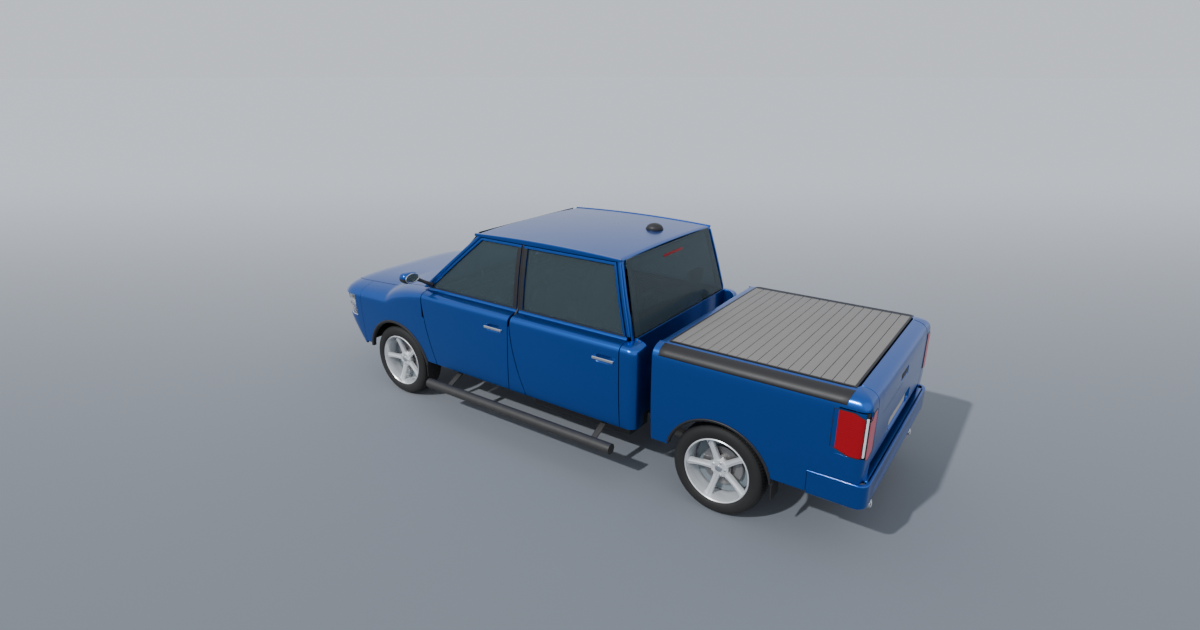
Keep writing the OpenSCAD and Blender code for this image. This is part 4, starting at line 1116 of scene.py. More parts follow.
def bed_side():
    """Columns across the back, round the corner, along the side and over the wheel's arch to the cab."""
    thick = 0.034
    arch_start = REAR_AXLE - math.sqrt(ARCH**2 - (BED_LOW - TYRE_RADIUS) ** 2)
    arc = REAR_AXLE - (REAR_AXLE - arch_start) * np.cos(np.linspace(0, np.pi, 60))
    along = np.concatenate([np.linspace(LAMP_END_X, BED_STEP_X - 0.001, 5), [BED_STEP_X + 0.001],
                            arc, np.linspace(2 * REAR_AXLE - arch_start, BED_FRONT_X, 6)[1:]])
    turns = np.radians(np.linspace(90, 0, 17))

    def grid(d, inset, z):
        r = CORNER - d
        back = [grid_of(BED_REAR_X + inset, 0.806, z)]
        x0, y0 = round_corner(np.pi / 2, inset, r)
        back.append(np.stack([x0, lerp(0.806, y0, 0.5), z], -1))
        corner = [np.stack([*round_corner(a, inset, r), z], -1) for a in turns]
        x1, y1 = round_corner(0, inset, r)
        near = [np.stack([lerp(x1, LAMP_END_X, t), y1, z], -1) for t in (0.2, 0.4, 0.6, 0.8)]
        return np.array(back + corner + near)
    inset, z = bed_section(0.690)
    inset_in = inset + thick + np.concatenate([np.zeros(25), turn_in - turn_inset])
    z_in = np.concatenate([z[:25], turn_in_z])
    rear_out, rear_in = grid(0, inset, z), grid(thick, inset_in, z_in)
    inset, z = bed_section(bed_arch(along))
    x = along[:, None] + 0 * z
    inset_in = inset + thick + np.concatenate([np.zeros(25), turn_in - turn_inset])
    z_in = np.concatenate([z[:, :25], np.broadcast_to(turn_in_z, (len(along), len(turn_in_z)))], 1)
    outer = np.concatenate([rear_out, np.stack([x, HALF_WIDTH - inset, z], -1)])
    inner = np.concatenate([rear_in, np.stack([x, HALF_WIDTH - inset_in, z_in], -1)])
    keep = np.ones((outer.shape[0] - 1, outer.shape[1] - 1), bool)
    keep[2:22, 16:43] = False       # the lamp's opening: the corner's columns, up to the lamp's top angle
    return panel(outer, inner, keep)


piece("bed_side_skins", pair(bed_side()), paint, "chassis", ["bed_sides"], bevel=0.0025,
      inner=under_paint)


# %% [markdown]
# Each tail lamp is a dark housing with a red side lens whose two opposite corners are cut, a white strip on the
# corner and a paler red lens facing back. They are patches of the bed's own surface, set in a few millimetres.

# %% Tail lamps
def lamp_patch(s, z, depth):
    """Points of the bed's surface by distance s round the corner (0 at the tailgate's end of the arc, in metres
    towards the front) and height z, set in by depth."""
    s, z = np.broadcast_arrays(np.asarray(s, float), np.asarray(z, float))
    inset = HALF_WIDTH * (1 - crown_scale(z, RAIL_TOP, BED_POWER)) + depth
    arc = CORNER * np.pi / 2
    a = np.clip(np.pi / 2 - s / CORNER, 0, np.pi / 2)
    x, y = round_corner(a, inset, CORNER - depth)
    return np.stack([x + np.clip(s - arc, 0, None), y + np.clip(s, None, 0), z], -1)


def lamp_wall(s, z_low, z_high, depth, thick, nz=16):
    """A wall over the lamp: lower and upper edges are given along s."""
    z = lerp(np.asarray(z_low)[:, None], np.asarray(z_high)[:, None], np.linspace(0, 1, nz))
    s = np.asarray(s)[:, None] + 0 * z
    return panel(lamp_patch(s, z, depth), lamp_patch(s, z, depth + thick))


def side_lens_edges(s, grow):
    """Lower and upper edge of the side lens, each with one corner cut, made larger by grow."""
    return LAMP_Z[0] + 0.007 - grow + 0.045 * np.clip((s - 0.155) / 0.12, 0, 1), \
        LAMP_Z[1] - 0.010 + grow - 0.035 * np.clip((0.140 - s) / 0.074, 0, 1)


s = np.linspace(0.002, 0.278, 40)
housing = lamp_wall(s, np.full(40, LAMP_Z[0] + 0.003), np.full(40, LAMP_Z[1] - 0.004), 0.012, 0.016)
piece("tail_lamp_housings", pair(housing), gloss_black, "chassis", ["tail_lamps"])
side_s = np.linspace(0.066, 0.2815, 34)
bottom, top = side_lens_edges(side_s, 0)
piece("tail_lamp_side_lenses", pair(lamp_wall(side_s, bottom, top, 0.0005, 0.009)), red_lens, "chassis",
      bevel=0.002)
surround = join([lamp_wall(side_s, np.full(34, LAMP_Z[0] + 0.001), bottom - 0.004, 0.001, 0.009, 4),
                 lamp_wall(side_s, top + 0.004, np.full(34, LAMP_Z[1] - 0.001), 0.001, 0.009, 4)])
piece("tail_lamp_surrounds", pair(surround), paint, "chassis")
s = np.linspace(0.040, 0.060, 8)
piece("tail_lamp_white_strips", pair(lamp_wall(s, np.full(8, LAMP_Z[0] + 0.012), np.full(8, LAMP_Z[1] - 0.040),
                                               0.0005, 0.009)), white_lens, "chassis", bevel=0.0015)
s = np.linspace(-0.100, 0.034, 24)
bottom = LAMP_Z[0] - 0.006 + 0.02 * np.clip(-s / 0.1, 0, 1)
top = LAMP_Z[1] - 0.012 - 0.05 * np.clip((s + 0.02) / 0.05, 0, 1)
back_lens = lamp_wall(s, bottom, top, -0.0035, 0.006)
piece("tail_lamp_rear_lenses", pair(back_lens), pink_lens, "chassis", bevel=0.0015)


def rim_of(s, edges, depth, radius):
    """A thin round rim along a lens's lower edge and back along its upper edge."""
    low_edge, high_edge = edges
    there_and_back = np.concatenate([s, s[::-1]])
    return tube(lamp_patch(there_and_back, np.concatenate([low_edge, high_edge[::-1]]), depth), radius, 8, closed=True)


rims = join([rim_of(s, (bottom, top), -0.002, 0.003), rim_of(side_s, side_lens_edges(side_s, 0.002), -0.0005, 0.0028)])
piece("tail_lamp_rims", pair(rims), gloss_black, "chassis")


# %% [markdown]
# The tailgate's outer face is pressed in for its handle and for the plate. The cover over the bed is a row of
# long slats that roll up towards the cab, in side frames, and black caps protect the rails.

# %% Tailgate
TAILGATE_LOW = low("tailgate")[2]
TAILGATE_HALF = high("tailgate")[1]


def tailgate():
    """The bed's own section across the back, pressed in over two rounded rectangles."""
    inset, z = bed_section(TAILGATE_LOW, 50)
    y = np.linspace(TAILGATE_HALF, -TAILGATE_HALF, 180)[:, None]
    pressed = 0.020 * np.minimum(1, 1.6 * swell(y, z, 0, 1.172, 0.115, 0.036, 8)) \
        + 0.026 * np.minimum(1, 1.6 * swell(y, z, 0, 0.868, 0.36, 0.058, 8)) \
        - 0.002 * swell(y, z, 0, 1.20, 0.70, 0.10, 8)
    outer = grid_of(BED_REAR_X + inset + pressed, y, z)
    inner_inset = np.concatenate([inset[:50] + 0.060, 0.060 + turn_in * 0.9])
    inner = grid_of(BED_REAR_X + inner_inset, y, np.concatenate([z[:50], turn_in_z]))
    return panel(outer, inner)


piece("tailgate_shell", tailgate(), paint, "tailgate", ["tailgate"], bevel=0.0025, inner=under_paint)
face = BED_REAR_X
pull = rounded_box((face - 0.002, -0.098, 1.172), (face + 0.010, 0.098, 1.196), 0.004)
slot_back = rounded_box((face + 0.0025, -0.108, 1.139), (face + 0.0215, 0.108, 1.206), 0.004)
piece("tailgate_handle", join([pull, slot_back]), trim, "tailgate", bevel=0)
# A black sheet on the floor of the plate's recess, round the plate: painted shade in the recess.
recess_shade_sheet = rounded_box((face + 0.0215, -0.335, 0.822), (face + 0.0275, 0.335, 0.914), 0.002)
piece("shade_behind_plate", recess_shade_sheet, trim, "tailgate")
piece("blank_plate", rounded_box((face + 0.016, -0.26, 0.828), (face + 0.021, 0.26, 0.908), 0.002), plate_blank,
      "tailgate")
plate_lamps = join([rounded_box((face + 0.004, y - 0.035, 0.912), (face + 0.018, y + 0.035, 0.922), 0.004)
                    for y in (-0.16, 0.16)])
piece("plate_lamps", plate_lamps, white_lens, "tailgate")


# %% Bed cover and rail caps
SLAT_LOW, SLAT_HIGH = low("tonneau_cover"), high("tonneau_cover")
SLATS = 18
pitch = (SLAT_HIGH[0] - SLAT_LOW[0]) / SLATS
starts = SLAT_LOW[0] + pitch * np.arange(SLATS)
slats = [rounded_box((x + 0.002, SLAT_LOW[1] + 0.012, SLAT_HIGH[2] - 0.012),
                     (x + pitch - 0.002, SLAT_HIGH[1] - 0.012, SLAT_HIGH[2]), 0.003, 3) for x in starts]
piece("cover_slats", join(slats), slat_grey, "chassis", ["tonneau_cover"])
deck = rounded_box((SLAT_LOW[0] + 0.001, SLAT_LOW[1] + 0.004, SLAT_LOW[2]),
                   (SLAT_HIGH[0] - 0.001, SLAT_HIGH[1] - 0.004, SLAT_HIGH[2] - 0.009), 0.003)
sides = [rounded_box((SLAT_LOW[0], y - 0.006, SLAT_LOW[2]), (SLAT_HIGH[0], y + 0.006, SLAT_HIGH[2] + 0.002), 0.003)
         for y in (SLAT_LOW[1] + 0.006, SLAT_HIGH[1] - 0.006)]
ends = [rounded_box((x - 0.009, SLAT_LOW[1], SLAT_LOW[2]), (x + 0.009, SLAT_HIGH[1], SLAT_HIGH[2] + 0.001), 0.003)
        for x in (SLAT_LOW[0] - 0.006, SLAT_HIGH[0] + 0.006)]
piece("cover_frame", join([deck] + sides + ends), trim, "chassis")


def rail_cap():
    """The black cap over the bed's shoulder: rings between two angles, its ends cut at a slant."""
    a = np.radians(np.linspace(37.2, 47.2, 24))
    r = round_off(a, BED_POWER)
    edge_soft = 0.006 * (1 - np.abs(np.linspace(-1, 1, 24)) ** 6) ** 0.5
    t = np.linspace(0, 1, 50)
    end_soft = 0.006 * np.minimum(1, np.minimum(t, 1 - t) * 220) ** 0.5
    x0 = BED_REAR_X + 0.145 + 0.020 * np.linspace(1, 0, 24)
    x = lerp(x0, BED_FRONT_X - 0.055, t[:, None])

    def ring(out):
        return np.stack([x, (HALF_WIDTH + out) * np.cos(a) * r, WAIST + (RAIL_TOP - WAIST + out) * np.sin(a) * r], -1)
    return panel(ring(0.0015 + np.minimum(edge_soft, end_soft[:, None])), ring(0.0005 * np.ones_like(x)))


piece("rail_cap_covers", pair(rail_cap()), trim, "chassis", ["rail_caps"])

# %% [markdown]
# The tray inside has a ribbed floor. Its front wall ends in a body-coloured sill behind the cab, and the wheel tubs
# stand up on both sides.

# %% Cargo tray
TRAY_LOW, TRAY_HIGH = low("cargo_bed"), high("cargo_bed")
FLOOR_Z, TUB = 0.830, 0.489


def tray():
    """Floor with lengthways ribs, side walls, a front wall and its top sill, and tubs over the wheels."""
    x = np.linspace(TRAY_LOW[0], TRAY_HIGH[0] - 0.03, 60)[:, None]
    y = np.linspace(TRAY_HIGH[1] - 0.02, TRAY_LOW[1] + 0.02, 161)
    rib = 0.006 * np.clip(np.abs(np.sin(y * np.pi / 0.11)) * 3 - 1.2, 0, 1)
    fade = np.clip(np.minimum(x - TRAY_LOW[0] - 0.05, TRAY_HIGH[0] - 0.09 - x) / 0.02, 0, 1)
    floor = grid_of(x, y, FLOOR_Z - 0.006 + rib * fade)
    parts = [panel(floor, floor - [0, 0, 0.012])]
    front = TRAY_HIGH[0]
    parts.append(rounded_box((front - 0.034, TRAY_LOW[1], FLOOR_Z - 0.250), (front, TRAY_HIGH[1], 1.340), 0.008))
    parts.append(rounded_box((front - 0.080, -0.905, 1.306), (front + 0.004, 0.905, TRAY_HIGH[2] + 0.002), 0.020, 8))
    parts.append(pair(rounded_box((TRAY_LOW[0], TRAY_HIGH[1] - 0.034, FLOOR_Z - 0.034),
                                  (front - 0.02, TRAY_HIGH[1], 1.310), 0.008)))
    foot = math.asin((FLOOR_Z - 0.02 - TYRE_RADIUS) / TUB)
    a = np.linspace(foot, math.pi - foot, 30)[:, None]
    w = np.array([0.640, 0.646, 0.66, 0.82])
    soft = np.array([0.012, 0.003, 0.0, 0.0])
    out = grid_of(REAR_AXLE + (TUB - soft) * np.cos(a), w, TYRE_RADIUS + (TUB - soft) * np.sin(a))
    inside = grid_of(REAR_AXLE + 0.458 * np.cos(a), np.clip(w, 0.65, None), TYRE_RADIUS + 0.458 * np.sin(a))
    r = np.array([0.477, 0.40, 0.30, 0.05])
    side = grid_of(REAR_AXLE + r * np.cos(a), 0.642, np.maximum(TYRE_RADIUS + r * np.sin(a), FLOOR_Z - 0.02))
    return join(parts + [pair(panel(out, inside)), pair(panel(side, side + [0, 0.006, 0]))])


piece("cargo_tray", tray(), paint, "chassis", ["cargo_bed"])


# %% Rear bumper
def bumper():
    """The bumper: across the back, round the corner and along the side to the wheel, flush with the panels."""
    z = np.concatenate([np.linspace(0.480, 0.500, 4), np.linspace(0.515, 0.670, 12), [0.680, 0.685, 0.688]])
    roll = np.interp(z, [0.480, 0.488, 0.500, 0.680, 0.685, 0.688], [0.014, 0.005, 0.001, 0, 0.0015, 0.004])
    corner = 0.075

    def ring(d):
        w = flank(np.maximum(z, SILL)) - roll - d
        back = REAR_X + roll + d
        r = corner - d
        rows = [np.stack([back, np.full_like(z, y), z], -1) for y in np.linspace(0, 0.86, 20)]
        rows += [np.stack([back + r * (1 - np.sin(a)), w - r * (1 - np.cos(a)), z], -1)
                 for a in np.radians(np.linspace(90, 0, 15))]
        rows += [np.stack([x + 0 * z, w, z], -1) for x in np.linspace(REAR_X + 0.12, BED_STEP_X - 0.003, 16)]
        return np.array(rows)
    outer, inner = ring(0), ring(0.026)
    dish = 0.010 * swell(outer[..., 1], outer[..., 2], 0, 0.585, 0.80, 0.055, 8) * (outer[..., 0] < REAR_X + 0.03)
    outer[..., 0] += dish
    return panel(outer, inner)


step = rounded_box((REAR_X + 0.010, -0.905, 0.664), (REAR_X + 0.110, 0.905, 0.688), 0.007, 5)
piece("bumper_skin", join([pair(bumper()), step]), paint, "chassis", ["rear_bumper"], bevel=0.002)


# %% [markdown]
# ## Trim below the body
# The flares follow the body's own surface: each is a ring round the hub whose points take their width from the
# flank at their height. The steps are tubes on flat brackets.

# %% Flares and mud flaps
def flare(axle, outer_radius, turn_low, turn_high):
    """A flare: rings round the hub from the outer edge, over a soft roll, and back in past the arch's edge."""
    a = np.linspace(turn_low, math.pi - turn_high, 72)[:, None]
    inner_radius = ARCH - 0.013
    radius = np.array([outer_radius, outer_radius - 0.002, outer_radius - 0.006, 0.460, 0.450, 0.445, inner_radius,
                       inner_radius])
    proud = np.array([0.001, 0.006, 0.0085, 0.0105, 0.0095, 0.006, 0.000, -0.030])
    back = np.array([outer_radius - 0.003, outer_radius - 0.004, 0.464, 0.459, 0.451, 0.449, inner_radius + 0.005,
                     inner_radius + 0.005])
    z = TYRE_RADIUS + radius * np.sin(a)
    out = np.stack([axle + radius * np.cos(a), flank(z) + proud, z], -1)
    z = TYRE_RADIUS + back * np.sin(a)
    inside = np.stack([axle + back * np.cos(a), flank(z) + np.minimum(proud - 0.004, 0.0005), z], -1)
    return panel(out, inside)


def mud_flap(axle):
    """A rubber flap behind a wheel: a sheet that leans back a little, with rounded lower corners."""
    z, y = np.linspace(0, 1, 14), np.linspace(1, -1, 12)[:, None]
    half = 0.075 * np.minimum(1, (1 - np.clip(1 - z / 0.15, 0, 1) ** 2) ** 0.5 + 0.75)
    grid = grid_of(axle - 0.462 - 0.004 * (1 - z) ** 2, 0.935 + y * half, 0.332 + z * 0.148)
    return panel(grid, grid - [0.012, 0, 0])


rear_flare = flare(REAR_AXLE, 0.466, math.asin(0.135 / 0.466), math.asin(0.055 / 0.466))
front_flare = flare(FRONT_AXLE, 0.474, math.asin(0.085 / 0.474), math.asin(0.050 / 0.474))
flaps = [mud_flap(FRONT_AXLE), mud_flap(REAR_AXLE)]
piece("wheel_flare_rings", pair(join([front_flare, rear_flare])), trim, "chassis", ["wheel_flares"])
piece("mud_flaps", pair(join(flaps)), rubber, "chassis", bevel=0.003)


# %% Side steps
def step_tube():
    """The step: a tube with domed ends, and two flat brackets bent down from the chassis rail to it."""
    r, y, z = 0.048, 1.108, 0.345
    a = np.linspace(0.06, math.pi / 2, 8)
    x0, x1 = low("side_steps")[0], high("side_steps")[0]
    x = np.concatenate([x0 + 0.02 * (1 - np.sin(a)), np.linspace(x0 + 0.05, x1 - 0.05, 40),
                        x1 - 0.02 * (1 - np.sin(a[::-1]))])
    radius = r * np.concatenate([np.cos(np.pi / 2 - a) ** 0.5, np.ones(40), np.cos(np.pi / 2 - a[::-1]) ** 0.5])
    parts = [tube(grid_of(x, y, z), radius, 40)]
    for x in (REAR_AXLE + 1.130, REAR_AXLE + 2.940):
        centre = smooth_path([(x, 0.470, 0.470), (x, 0.80, 0.470), (x, 0.90, 0.445), (x, 1.075, 0.358)], 24)
        ahead = np.gradient(centre, axis=0)
        ahead /= np.linalg.norm(ahead, axis=1)[:, None]
        flat = np.tile([1.0, 0, 0], (24, 1))
        parts.append(swept(rounded_rectangle(0.060, 0.014, 0.005), centre, flat, np.cross(ahead, flat)))
    return join(parts)


piece("step_tubes", pair(step_tube()), frame_black, "chassis", ["side_steps"])


# %% Mirrors
POD_X, POD_Y, POD_Z = high("left_mirror")[0] - 0.055, 1.100, high("left_mirror")[2] - 0.054


def pod(upper):
    """Half of the mirror's pod: a superellipsoid, blunt at the back where the glass is and round at the front."""
    u, v = np.linspace(0, 2 * np.pi, 64, endpoint=False)[:, None], np.linspace(0, np.pi / 2 - 0.03, 14)
    c, s = np.cos(u), np.sin(u)
    ahead = np.where(c > 0, 0.085, 0.052) * np.sign(c) * np.abs(c) ** np.where(c > 0, 0.9, 0.45)
    y = 0.090 * np.sign(s) * np.abs(s) ** 0.75
    k = np.cos(v) ** 0.55
    z = 0.054 * np.sin(v) ** 0.8 * (1 if upper else -1)
    p = grid_of(POD_X + ahead * k, POD_Y + y * k, POD_Z + z)
    faces = grid_faces(64, 14, wrap_rows=True)
    rows = np.arange(64) * 14
    return p.reshape(-1, 3), [faces, rows[None, ::-1], (rows + 13)[None]]


def oval(x, half_y, half_z, thick, n=48):
    """A flat oval facing back, square to x."""
    a = np.linspace(0, 2 * np.pi, n, endpoint=False)
    y, z = POD_Y + half_y * np.cos(a), POD_Z + half_z * np.sin(a)
    front, back = grid_of(x, y, z), grid_of(x + thick, y, z)
    ids = np.arange(n)
    return np.concatenate([front, back]), [ids[None], (ids + n)[None, ::-1],
                                           np.stack([ids, (ids + 1) % n, (ids + 1) % n + n, ids + n], -1)]


def mirror_arm():
    """The arm: an oval bar from the door's corner up to the pod."""
    path = smooth_path([(1.452, 0.884, 1.338), (1.478, 0.935, 1.366), (1.518, 0.990, 1.402), (1.546, 1.045, 1.428)], 20)
    return tube(path, np.interp(np.linspace(0, 1, 20), [0, 0.5, 1], [0.022, 0.017, 0.022]), 20)


for side, s in SIDES:
    node, body = f"{side}_mirror", f"{side}_front_door"
    piece(f"{node}_cap", on_side(pod(True), s), paint, body, [node])
    piece(f"{node}_base", on_side(join([pod(False), mirror_arm()]), s), trim, body)
    piece(f"{node}_glass", on_side(oval(POD_X - 0.0555, 0.074, 0.040, 0.004), s), chrome, body)
    a = np.linspace(0, 2 * np.pi, 48, endpoint=False)
    ring = grid_of(POD_X - 0.054, POD_Y + 0.080 * np.cos(a), POD_Z + 0.045 * np.sin(a))
    piece(f"{node}_ring", on_side(tube(ring, 0.0055, 10, closed=True), s), chrome, body)


# %% Exhaust
def tail_pipe():
    """A bright tip with an open end: a hollow round section turned about its own axis and tilted by the pipe."""
    r = 0.034
    a = np.linspace(0, np.pi, 7)
    lip = np.stack([r - 0.002 + 0.002 * np.cos(a), -0.1 - 0.002 * np.sin(a)], 1)
    profile = np.concatenate([[[r, 0.20]], lip, [[r - 0.004, 0.05], [r - 0.010, 0.20]]])
    shape = lathe(profile, (0, 0, 0), "x", 48)
    return moved(turned(shape, "y", 5.5), (REAR_X + 0.127, 0.650, 0.354))


piece("exhaust_tips", pair(tail_pipe()), chrome, "chassis")
pipes = [tube(smooth_path([(-2.66, y, 0.372), (-2.60, y, 0.378), (-2.54, y * 0.93, 0.380)], 10), 0.026, 20)
         for y in (-0.65, 0.65)]
muffler = rounded_box((-2.620, -0.700, 0.330), (-2.500, 0.700, 0.430), 0.045, 10)
front_pipe = tube(smooth_path([(-2.50, 0.20, 0.375), (-2.30, 0.20, 0.360), (-2.0, 0.22, 0.285), (-1.6, 0.22, 0.285),
                               (-1.30, 0.20, 0.36), (-0.6, 0.18, 0.385), (0.6, 0.17, 0.385), (0.95, 0.15, 0.42)], 80),
                  0.026, 20)
piece("exhaust_pipes", join(pipes + [muffler, front_pipe]), cast, "chassis", ["exhaust"])
print("bed and trim made")


# %% [markdown]
# ## Wheels
# A tyre is one outline turned about the axle: sidewalls that bulge between the bead and the shoulder, and a nearly
# flat tread. The tread's grooves are pressed into the same surface, so the tyre stays one closed skin.

# %% Tyres
def tyre(n=360):
    """Tyre about the origin, its outer side towards +Y. Radius falls in the grooves: four rings round the tyre and
    slanted slots that repeat every four degrees on the shoulders."""
    w = TYRE_HALF
    bead = [(0.281, -w + 0.016), (0.286, -w + 0.010), (0.296, -w + 0.004), (0.312, -w + 0.0005), (0.330, -w),
            (0.348, -w + 0.002), (0.362, -w + 0.007), (0.374, -w + 0.015), (0.382, -w + 0.024)]
    tread_y = np.linspace(-w + 0.030, w - 0.030, 45)
    crown = TYRE_RADIUS - 0.0005 - 0.010 * np.abs(tread_y / (w - 0.030)) ** 4
    left = np.array(bead)
    right = left[::-1] * [1, -1]
    profile = np.concatenate([left, np.stack([crown, tread_y], 1), right])
    a = np.linspace(0, 2 * np.pi, n, endpoint=False)[:, None]
    y = profile[:, 1]
    on_tread = np.abs(y) <= w - 0.030 + 1e-6
    rings = np.min(np.abs(y[None, :] - np.array([-0.062, -0.020, 0.020, 0.062])[:, None]), 0) < 0.0045
    slots = (np.sin(a * 90 + y * 55) > 0.55) & (np.abs(y) > 0.028) & on_tread
    depth = np.where(rings[None, :] & on_tread, 0.0065, 0) + np.where(slots & ~rings[None, :], 0.005, 0)
    r = profile[:, 0] - depth
    points = grid_of(r * np.cos(a), y, r * np.sin(a))
    return points.reshape(-1, 3), [grid_faces(n, len(profile), wrap_rows=True, wrap_cols=True)]


# %% [markdown]
# The rim is a cast wheel with five spokes. Each spoke is a tapered beam with a ridge along its middle that sweeps
# out to the lip. Behind them a vented disc and a caliper show through.

# %% Rims, discs and calipers
RIM = 0.281


def barrel():
    """The rim's barrel: a closed outline with a lip at the outer face, a drop centre and the inner flange."""
    w = TYRE_HALF - 0.006
    outline = [(RIM, -w + 0.010), (RIM - 0.004, -w), (RIM - 0.016, -w + 0.002), (RIM - 0.024, -w + 0.020),
               (RIM - 0.026, 0.020), (RIM - 0.022, w - 0.050), (RIM - 0.014, w - 0.020), (RIM - 0.012, w - 0.006),
               (RIM - 0.006, w), (RIM, w - 0.004), (RIM, w - 0.03), (RIM - 0.012, w - 0.045), (RIM - 0.014, 0.03),
               (RIM - 0.010, -w + 0.03)]
    return lathe(outline, (0, 0, 0), "y", 120)


def spoke():
    """A spoke along +Z: rows from hub to lip, each an arch-shaped section with a ridge in the middle."""
    t = np.linspace(0, 1, 26)[:, None]
    r = lerp(0.040, RIM - 0.016, t)
    half = 0.021 + 0.006 * (1 - t) ** 2 * 2 + 0.014 * t**4
    face = TYRE_HALF - 0.070 + 0.030 * t**2
    u = np.array([-1, -0.96, -0.82, -0.45, -0.12, 0, 0.12, 0.45, 0.82, 0.96, 1.0])
    raised = np.array([-0.026, -0.010, -0.001, 0.0, 0.0035, 0.005, 0.0035, 0.0, -0.001, -0.010, -0.026])
    return panel(grid_of(u * half, face + raised, r), grid_of(u * half * 0.9, face - 0.040 + 0.008 * u**2, r))


def hub():
    """The hub's boss and its domed cap, turned about the axle."""
    y = TYRE_HALF - 0.066
    boss = [(0.0005, y - 0.050), (0.076, y - 0.050), (0.078, y - 0.008), (0.070, y + 0.003), (0.040, y + 0.006),
            (0.0005, y + 0.006)]
    return lathe(boss, (0, 0, 0), "y", 80)


def cap():
    """The centre cap: a shallow dome with a groove round it."""
    y = TYRE_HALF - 0.062
    a = np.linspace(0, np.pi / 2, 7)
    dome = [(0.032 * math.cos(t), y + 0.004 + 0.008 * math.sin(t)) for t in a]
    return lathe([(0.0005, y), (0.034, y), (0.034, y + 0.003)] + dome[:-1] + [(0.0005, y + 0.012)], (0, 0, 0),
                 "y", 64)


def lug_nuts():
    """Five hexagon nuts in a ring between the spokes."""
    nut = lathe([(0.0005, -0.004), (0.0095, -0.004), (0.0095, 0.009), (0.0065, 0.012), (0.0005, 0.012)], (0, 0, 0),
                "y", 6)
    return join([turned(moved(nut, (0, TYRE_HALF - 0.062, 0.055)), "y", 36 + 72 * k) for k in range(5)])


def disc():
    """A brake disc: two rings with a gap between, on a bell."""
    outline = [(0.072, 0.000), (0.168, 0.000), (0.168, 0.009), (0.095, 0.009), (0.092, 0.034), (0.072, 0.034)]
    second = [(0.100, -0.014), (0.168, -0.014), (0.168, -0.006), (0.100, -0.006)]
    return join([lathe(outline, (0, 0, 0), "y", 96), lathe(second, (0, 0, 0), "y", 96)])


def shield():
    """The plate behind the disc: a shallow dish that fills the rim, seen between the spokes."""
    outline = [(0.050, -0.030), (0.240, -0.030), (0.246, -0.024), (0.238, -0.020), (0.130, -0.024), (0.050, -0.024)]
    return lathe(outline, (0, 0, 0), "y", 96)


def valve():
    """The tyre valve by the lip."""
    return tube([(0, TYRE_HALF - 0.045, RIM - 0.030), (0, TYRE_HALF - 0.020, RIM - 0.038)], 0.0035, 10)


tyre_shape, barrel_shape, disc_shape = tyre(), barrel(), disc()
spokes = join([turned(spoke(), "y", 72 * k) for k in range(5)])
rim_shape = join([barrel_shape, spokes, hub()])
small_shape = join([cap(), lug_nuts()])
for end, x in (("front", FRONT_AXLE), ("rear", REAR_AXLE)):
    for side, s in SIDES:
        body = f"{end}_{side}_wheel"
        centre = (x, TRACK_HALF, TYRE_RADIUS)
        for name, shape, material, slot, node in (
                ("tyre_skin", tyre_shape, rubber, "tyre_rubber", f"{end}_{side}_tyre"),
                ("rim", rim_shape, silver, "alloy_silver", f"{end}_{side}_wheel"),
                ("cap_and_nuts", small_shape, chrome, "alloy_silver", None),
                ("valve", valve(), rubber, "tyre_rubber", None),
                ("shield", shield(), shield_grey, "cast_alloy", None),
                ("disc", disc_shape, iron, "cast_alloy", None)):
            piece(f"{end}_{side}_{name}", on_side(moved(turned(shape, "y", 20), centre), s), material, body,
                  [node] if node else ())


def caliper(x):
    """A caliper over the disc's edge: a block bent along the disc's rim."""
    a = np.radians(np.linspace(150, 206, 16))[:, None]
    loop_r = np.array([0.120, 0.178, 0.184, 0.184, 0.178, 0.120])
    loop_y = np.array([0.016, 0.016, 0.010, -0.022, -0.028, -0.028])
    p = grid_of(x + loop_r * np.cos(a), TRACK_HALF + loop_y, TYRE_RADIUS + loop_r * np.sin(a))
    caps = np.stack([np.arange(6)[::-1], 15 * 6 + np.arange(6)])
    return p.reshape(-1, 3), [grid_faces(16, 6, wrap_cols=True), caps]


for side, s in SIDES:
    piece(f"{side}_front_caliper", on_side(caliper(FRONT_AXLE), s), cast, f"{side}_knuckle", bevel=0.003)
    piece(f"{side}_rear_caliper", on_side(caliper(REAR_AXLE), s), cast, "chassis", bevel=0.003)
print("wheels made")


# %% [markdown]
# ## Cabin
# The seats are foam under cloth. A cushion is a closed skin over a rounded box whose top swells up between its
# seams: the height of the swell is a product of two half sines, one along and one across, so every edge stays sewn
# down. The back is the same cushion stood up and leant.

# %% Seats
def signed_power(value, exponent):
    """The power of a value's size, with the value's own sign."""
    return np.sign(value) * np.abs(value) ** exponent


def cushion(length, width, thick, puff, channels=(), bolster=0.0, n=60):
    """A cushion on the origin, lying along +X and centred across Y: a superellipsoid box whose upper face puffs up
    between stitched lines and rises in two side bolsters."""
    u, v = np.linspace(-np.pi / 2, np.pi / 2, n)[:, None], np.linspace(-np.pi, np.pi, 2 * n, endpoint=False)
    x = length / 2 * signed_power(np.cos(u), 0.35) * signed_power(np.cos(v), 0.30)
    y = width / 2 * signed_power(np.cos(u), 0.35) * signed_power(np.sin(v), 0.30)
    z = thick / 2 * signed_power(np.sin(u), 0.45) + 0 * v
    sx, sy = x / (length / 2), y / (width / 2)
    top = np.clip(z / (thick / 2), 0, 1) ** 0.5
    z = z + top * puff * np.cos(sx * np.pi / 2) * np.cos(sy * np.pi / 2)
    z = z + top * bolster * np.clip((np.abs(sy) - 0.55) / 0.3, 0, 1) ** 2 * np.clip((1 - np.abs(sy)) / 0.15, 0, 1)
    for at in channels:
        z = z - top * 0.010 * np.exp(-((sx - at) / 0.018) ** 2) * (np.abs(sy) < 0.62)
    for at in (-0.6, 0.6):
        z = z - top * 0.012 * np.exp(-((sy - at) / 0.022) ** 2)
    p = np.stack([x, y, z], -1)
    return p.reshape(-1, 3), [grid_faces(n, 2 * n, wrap_cols=True)]


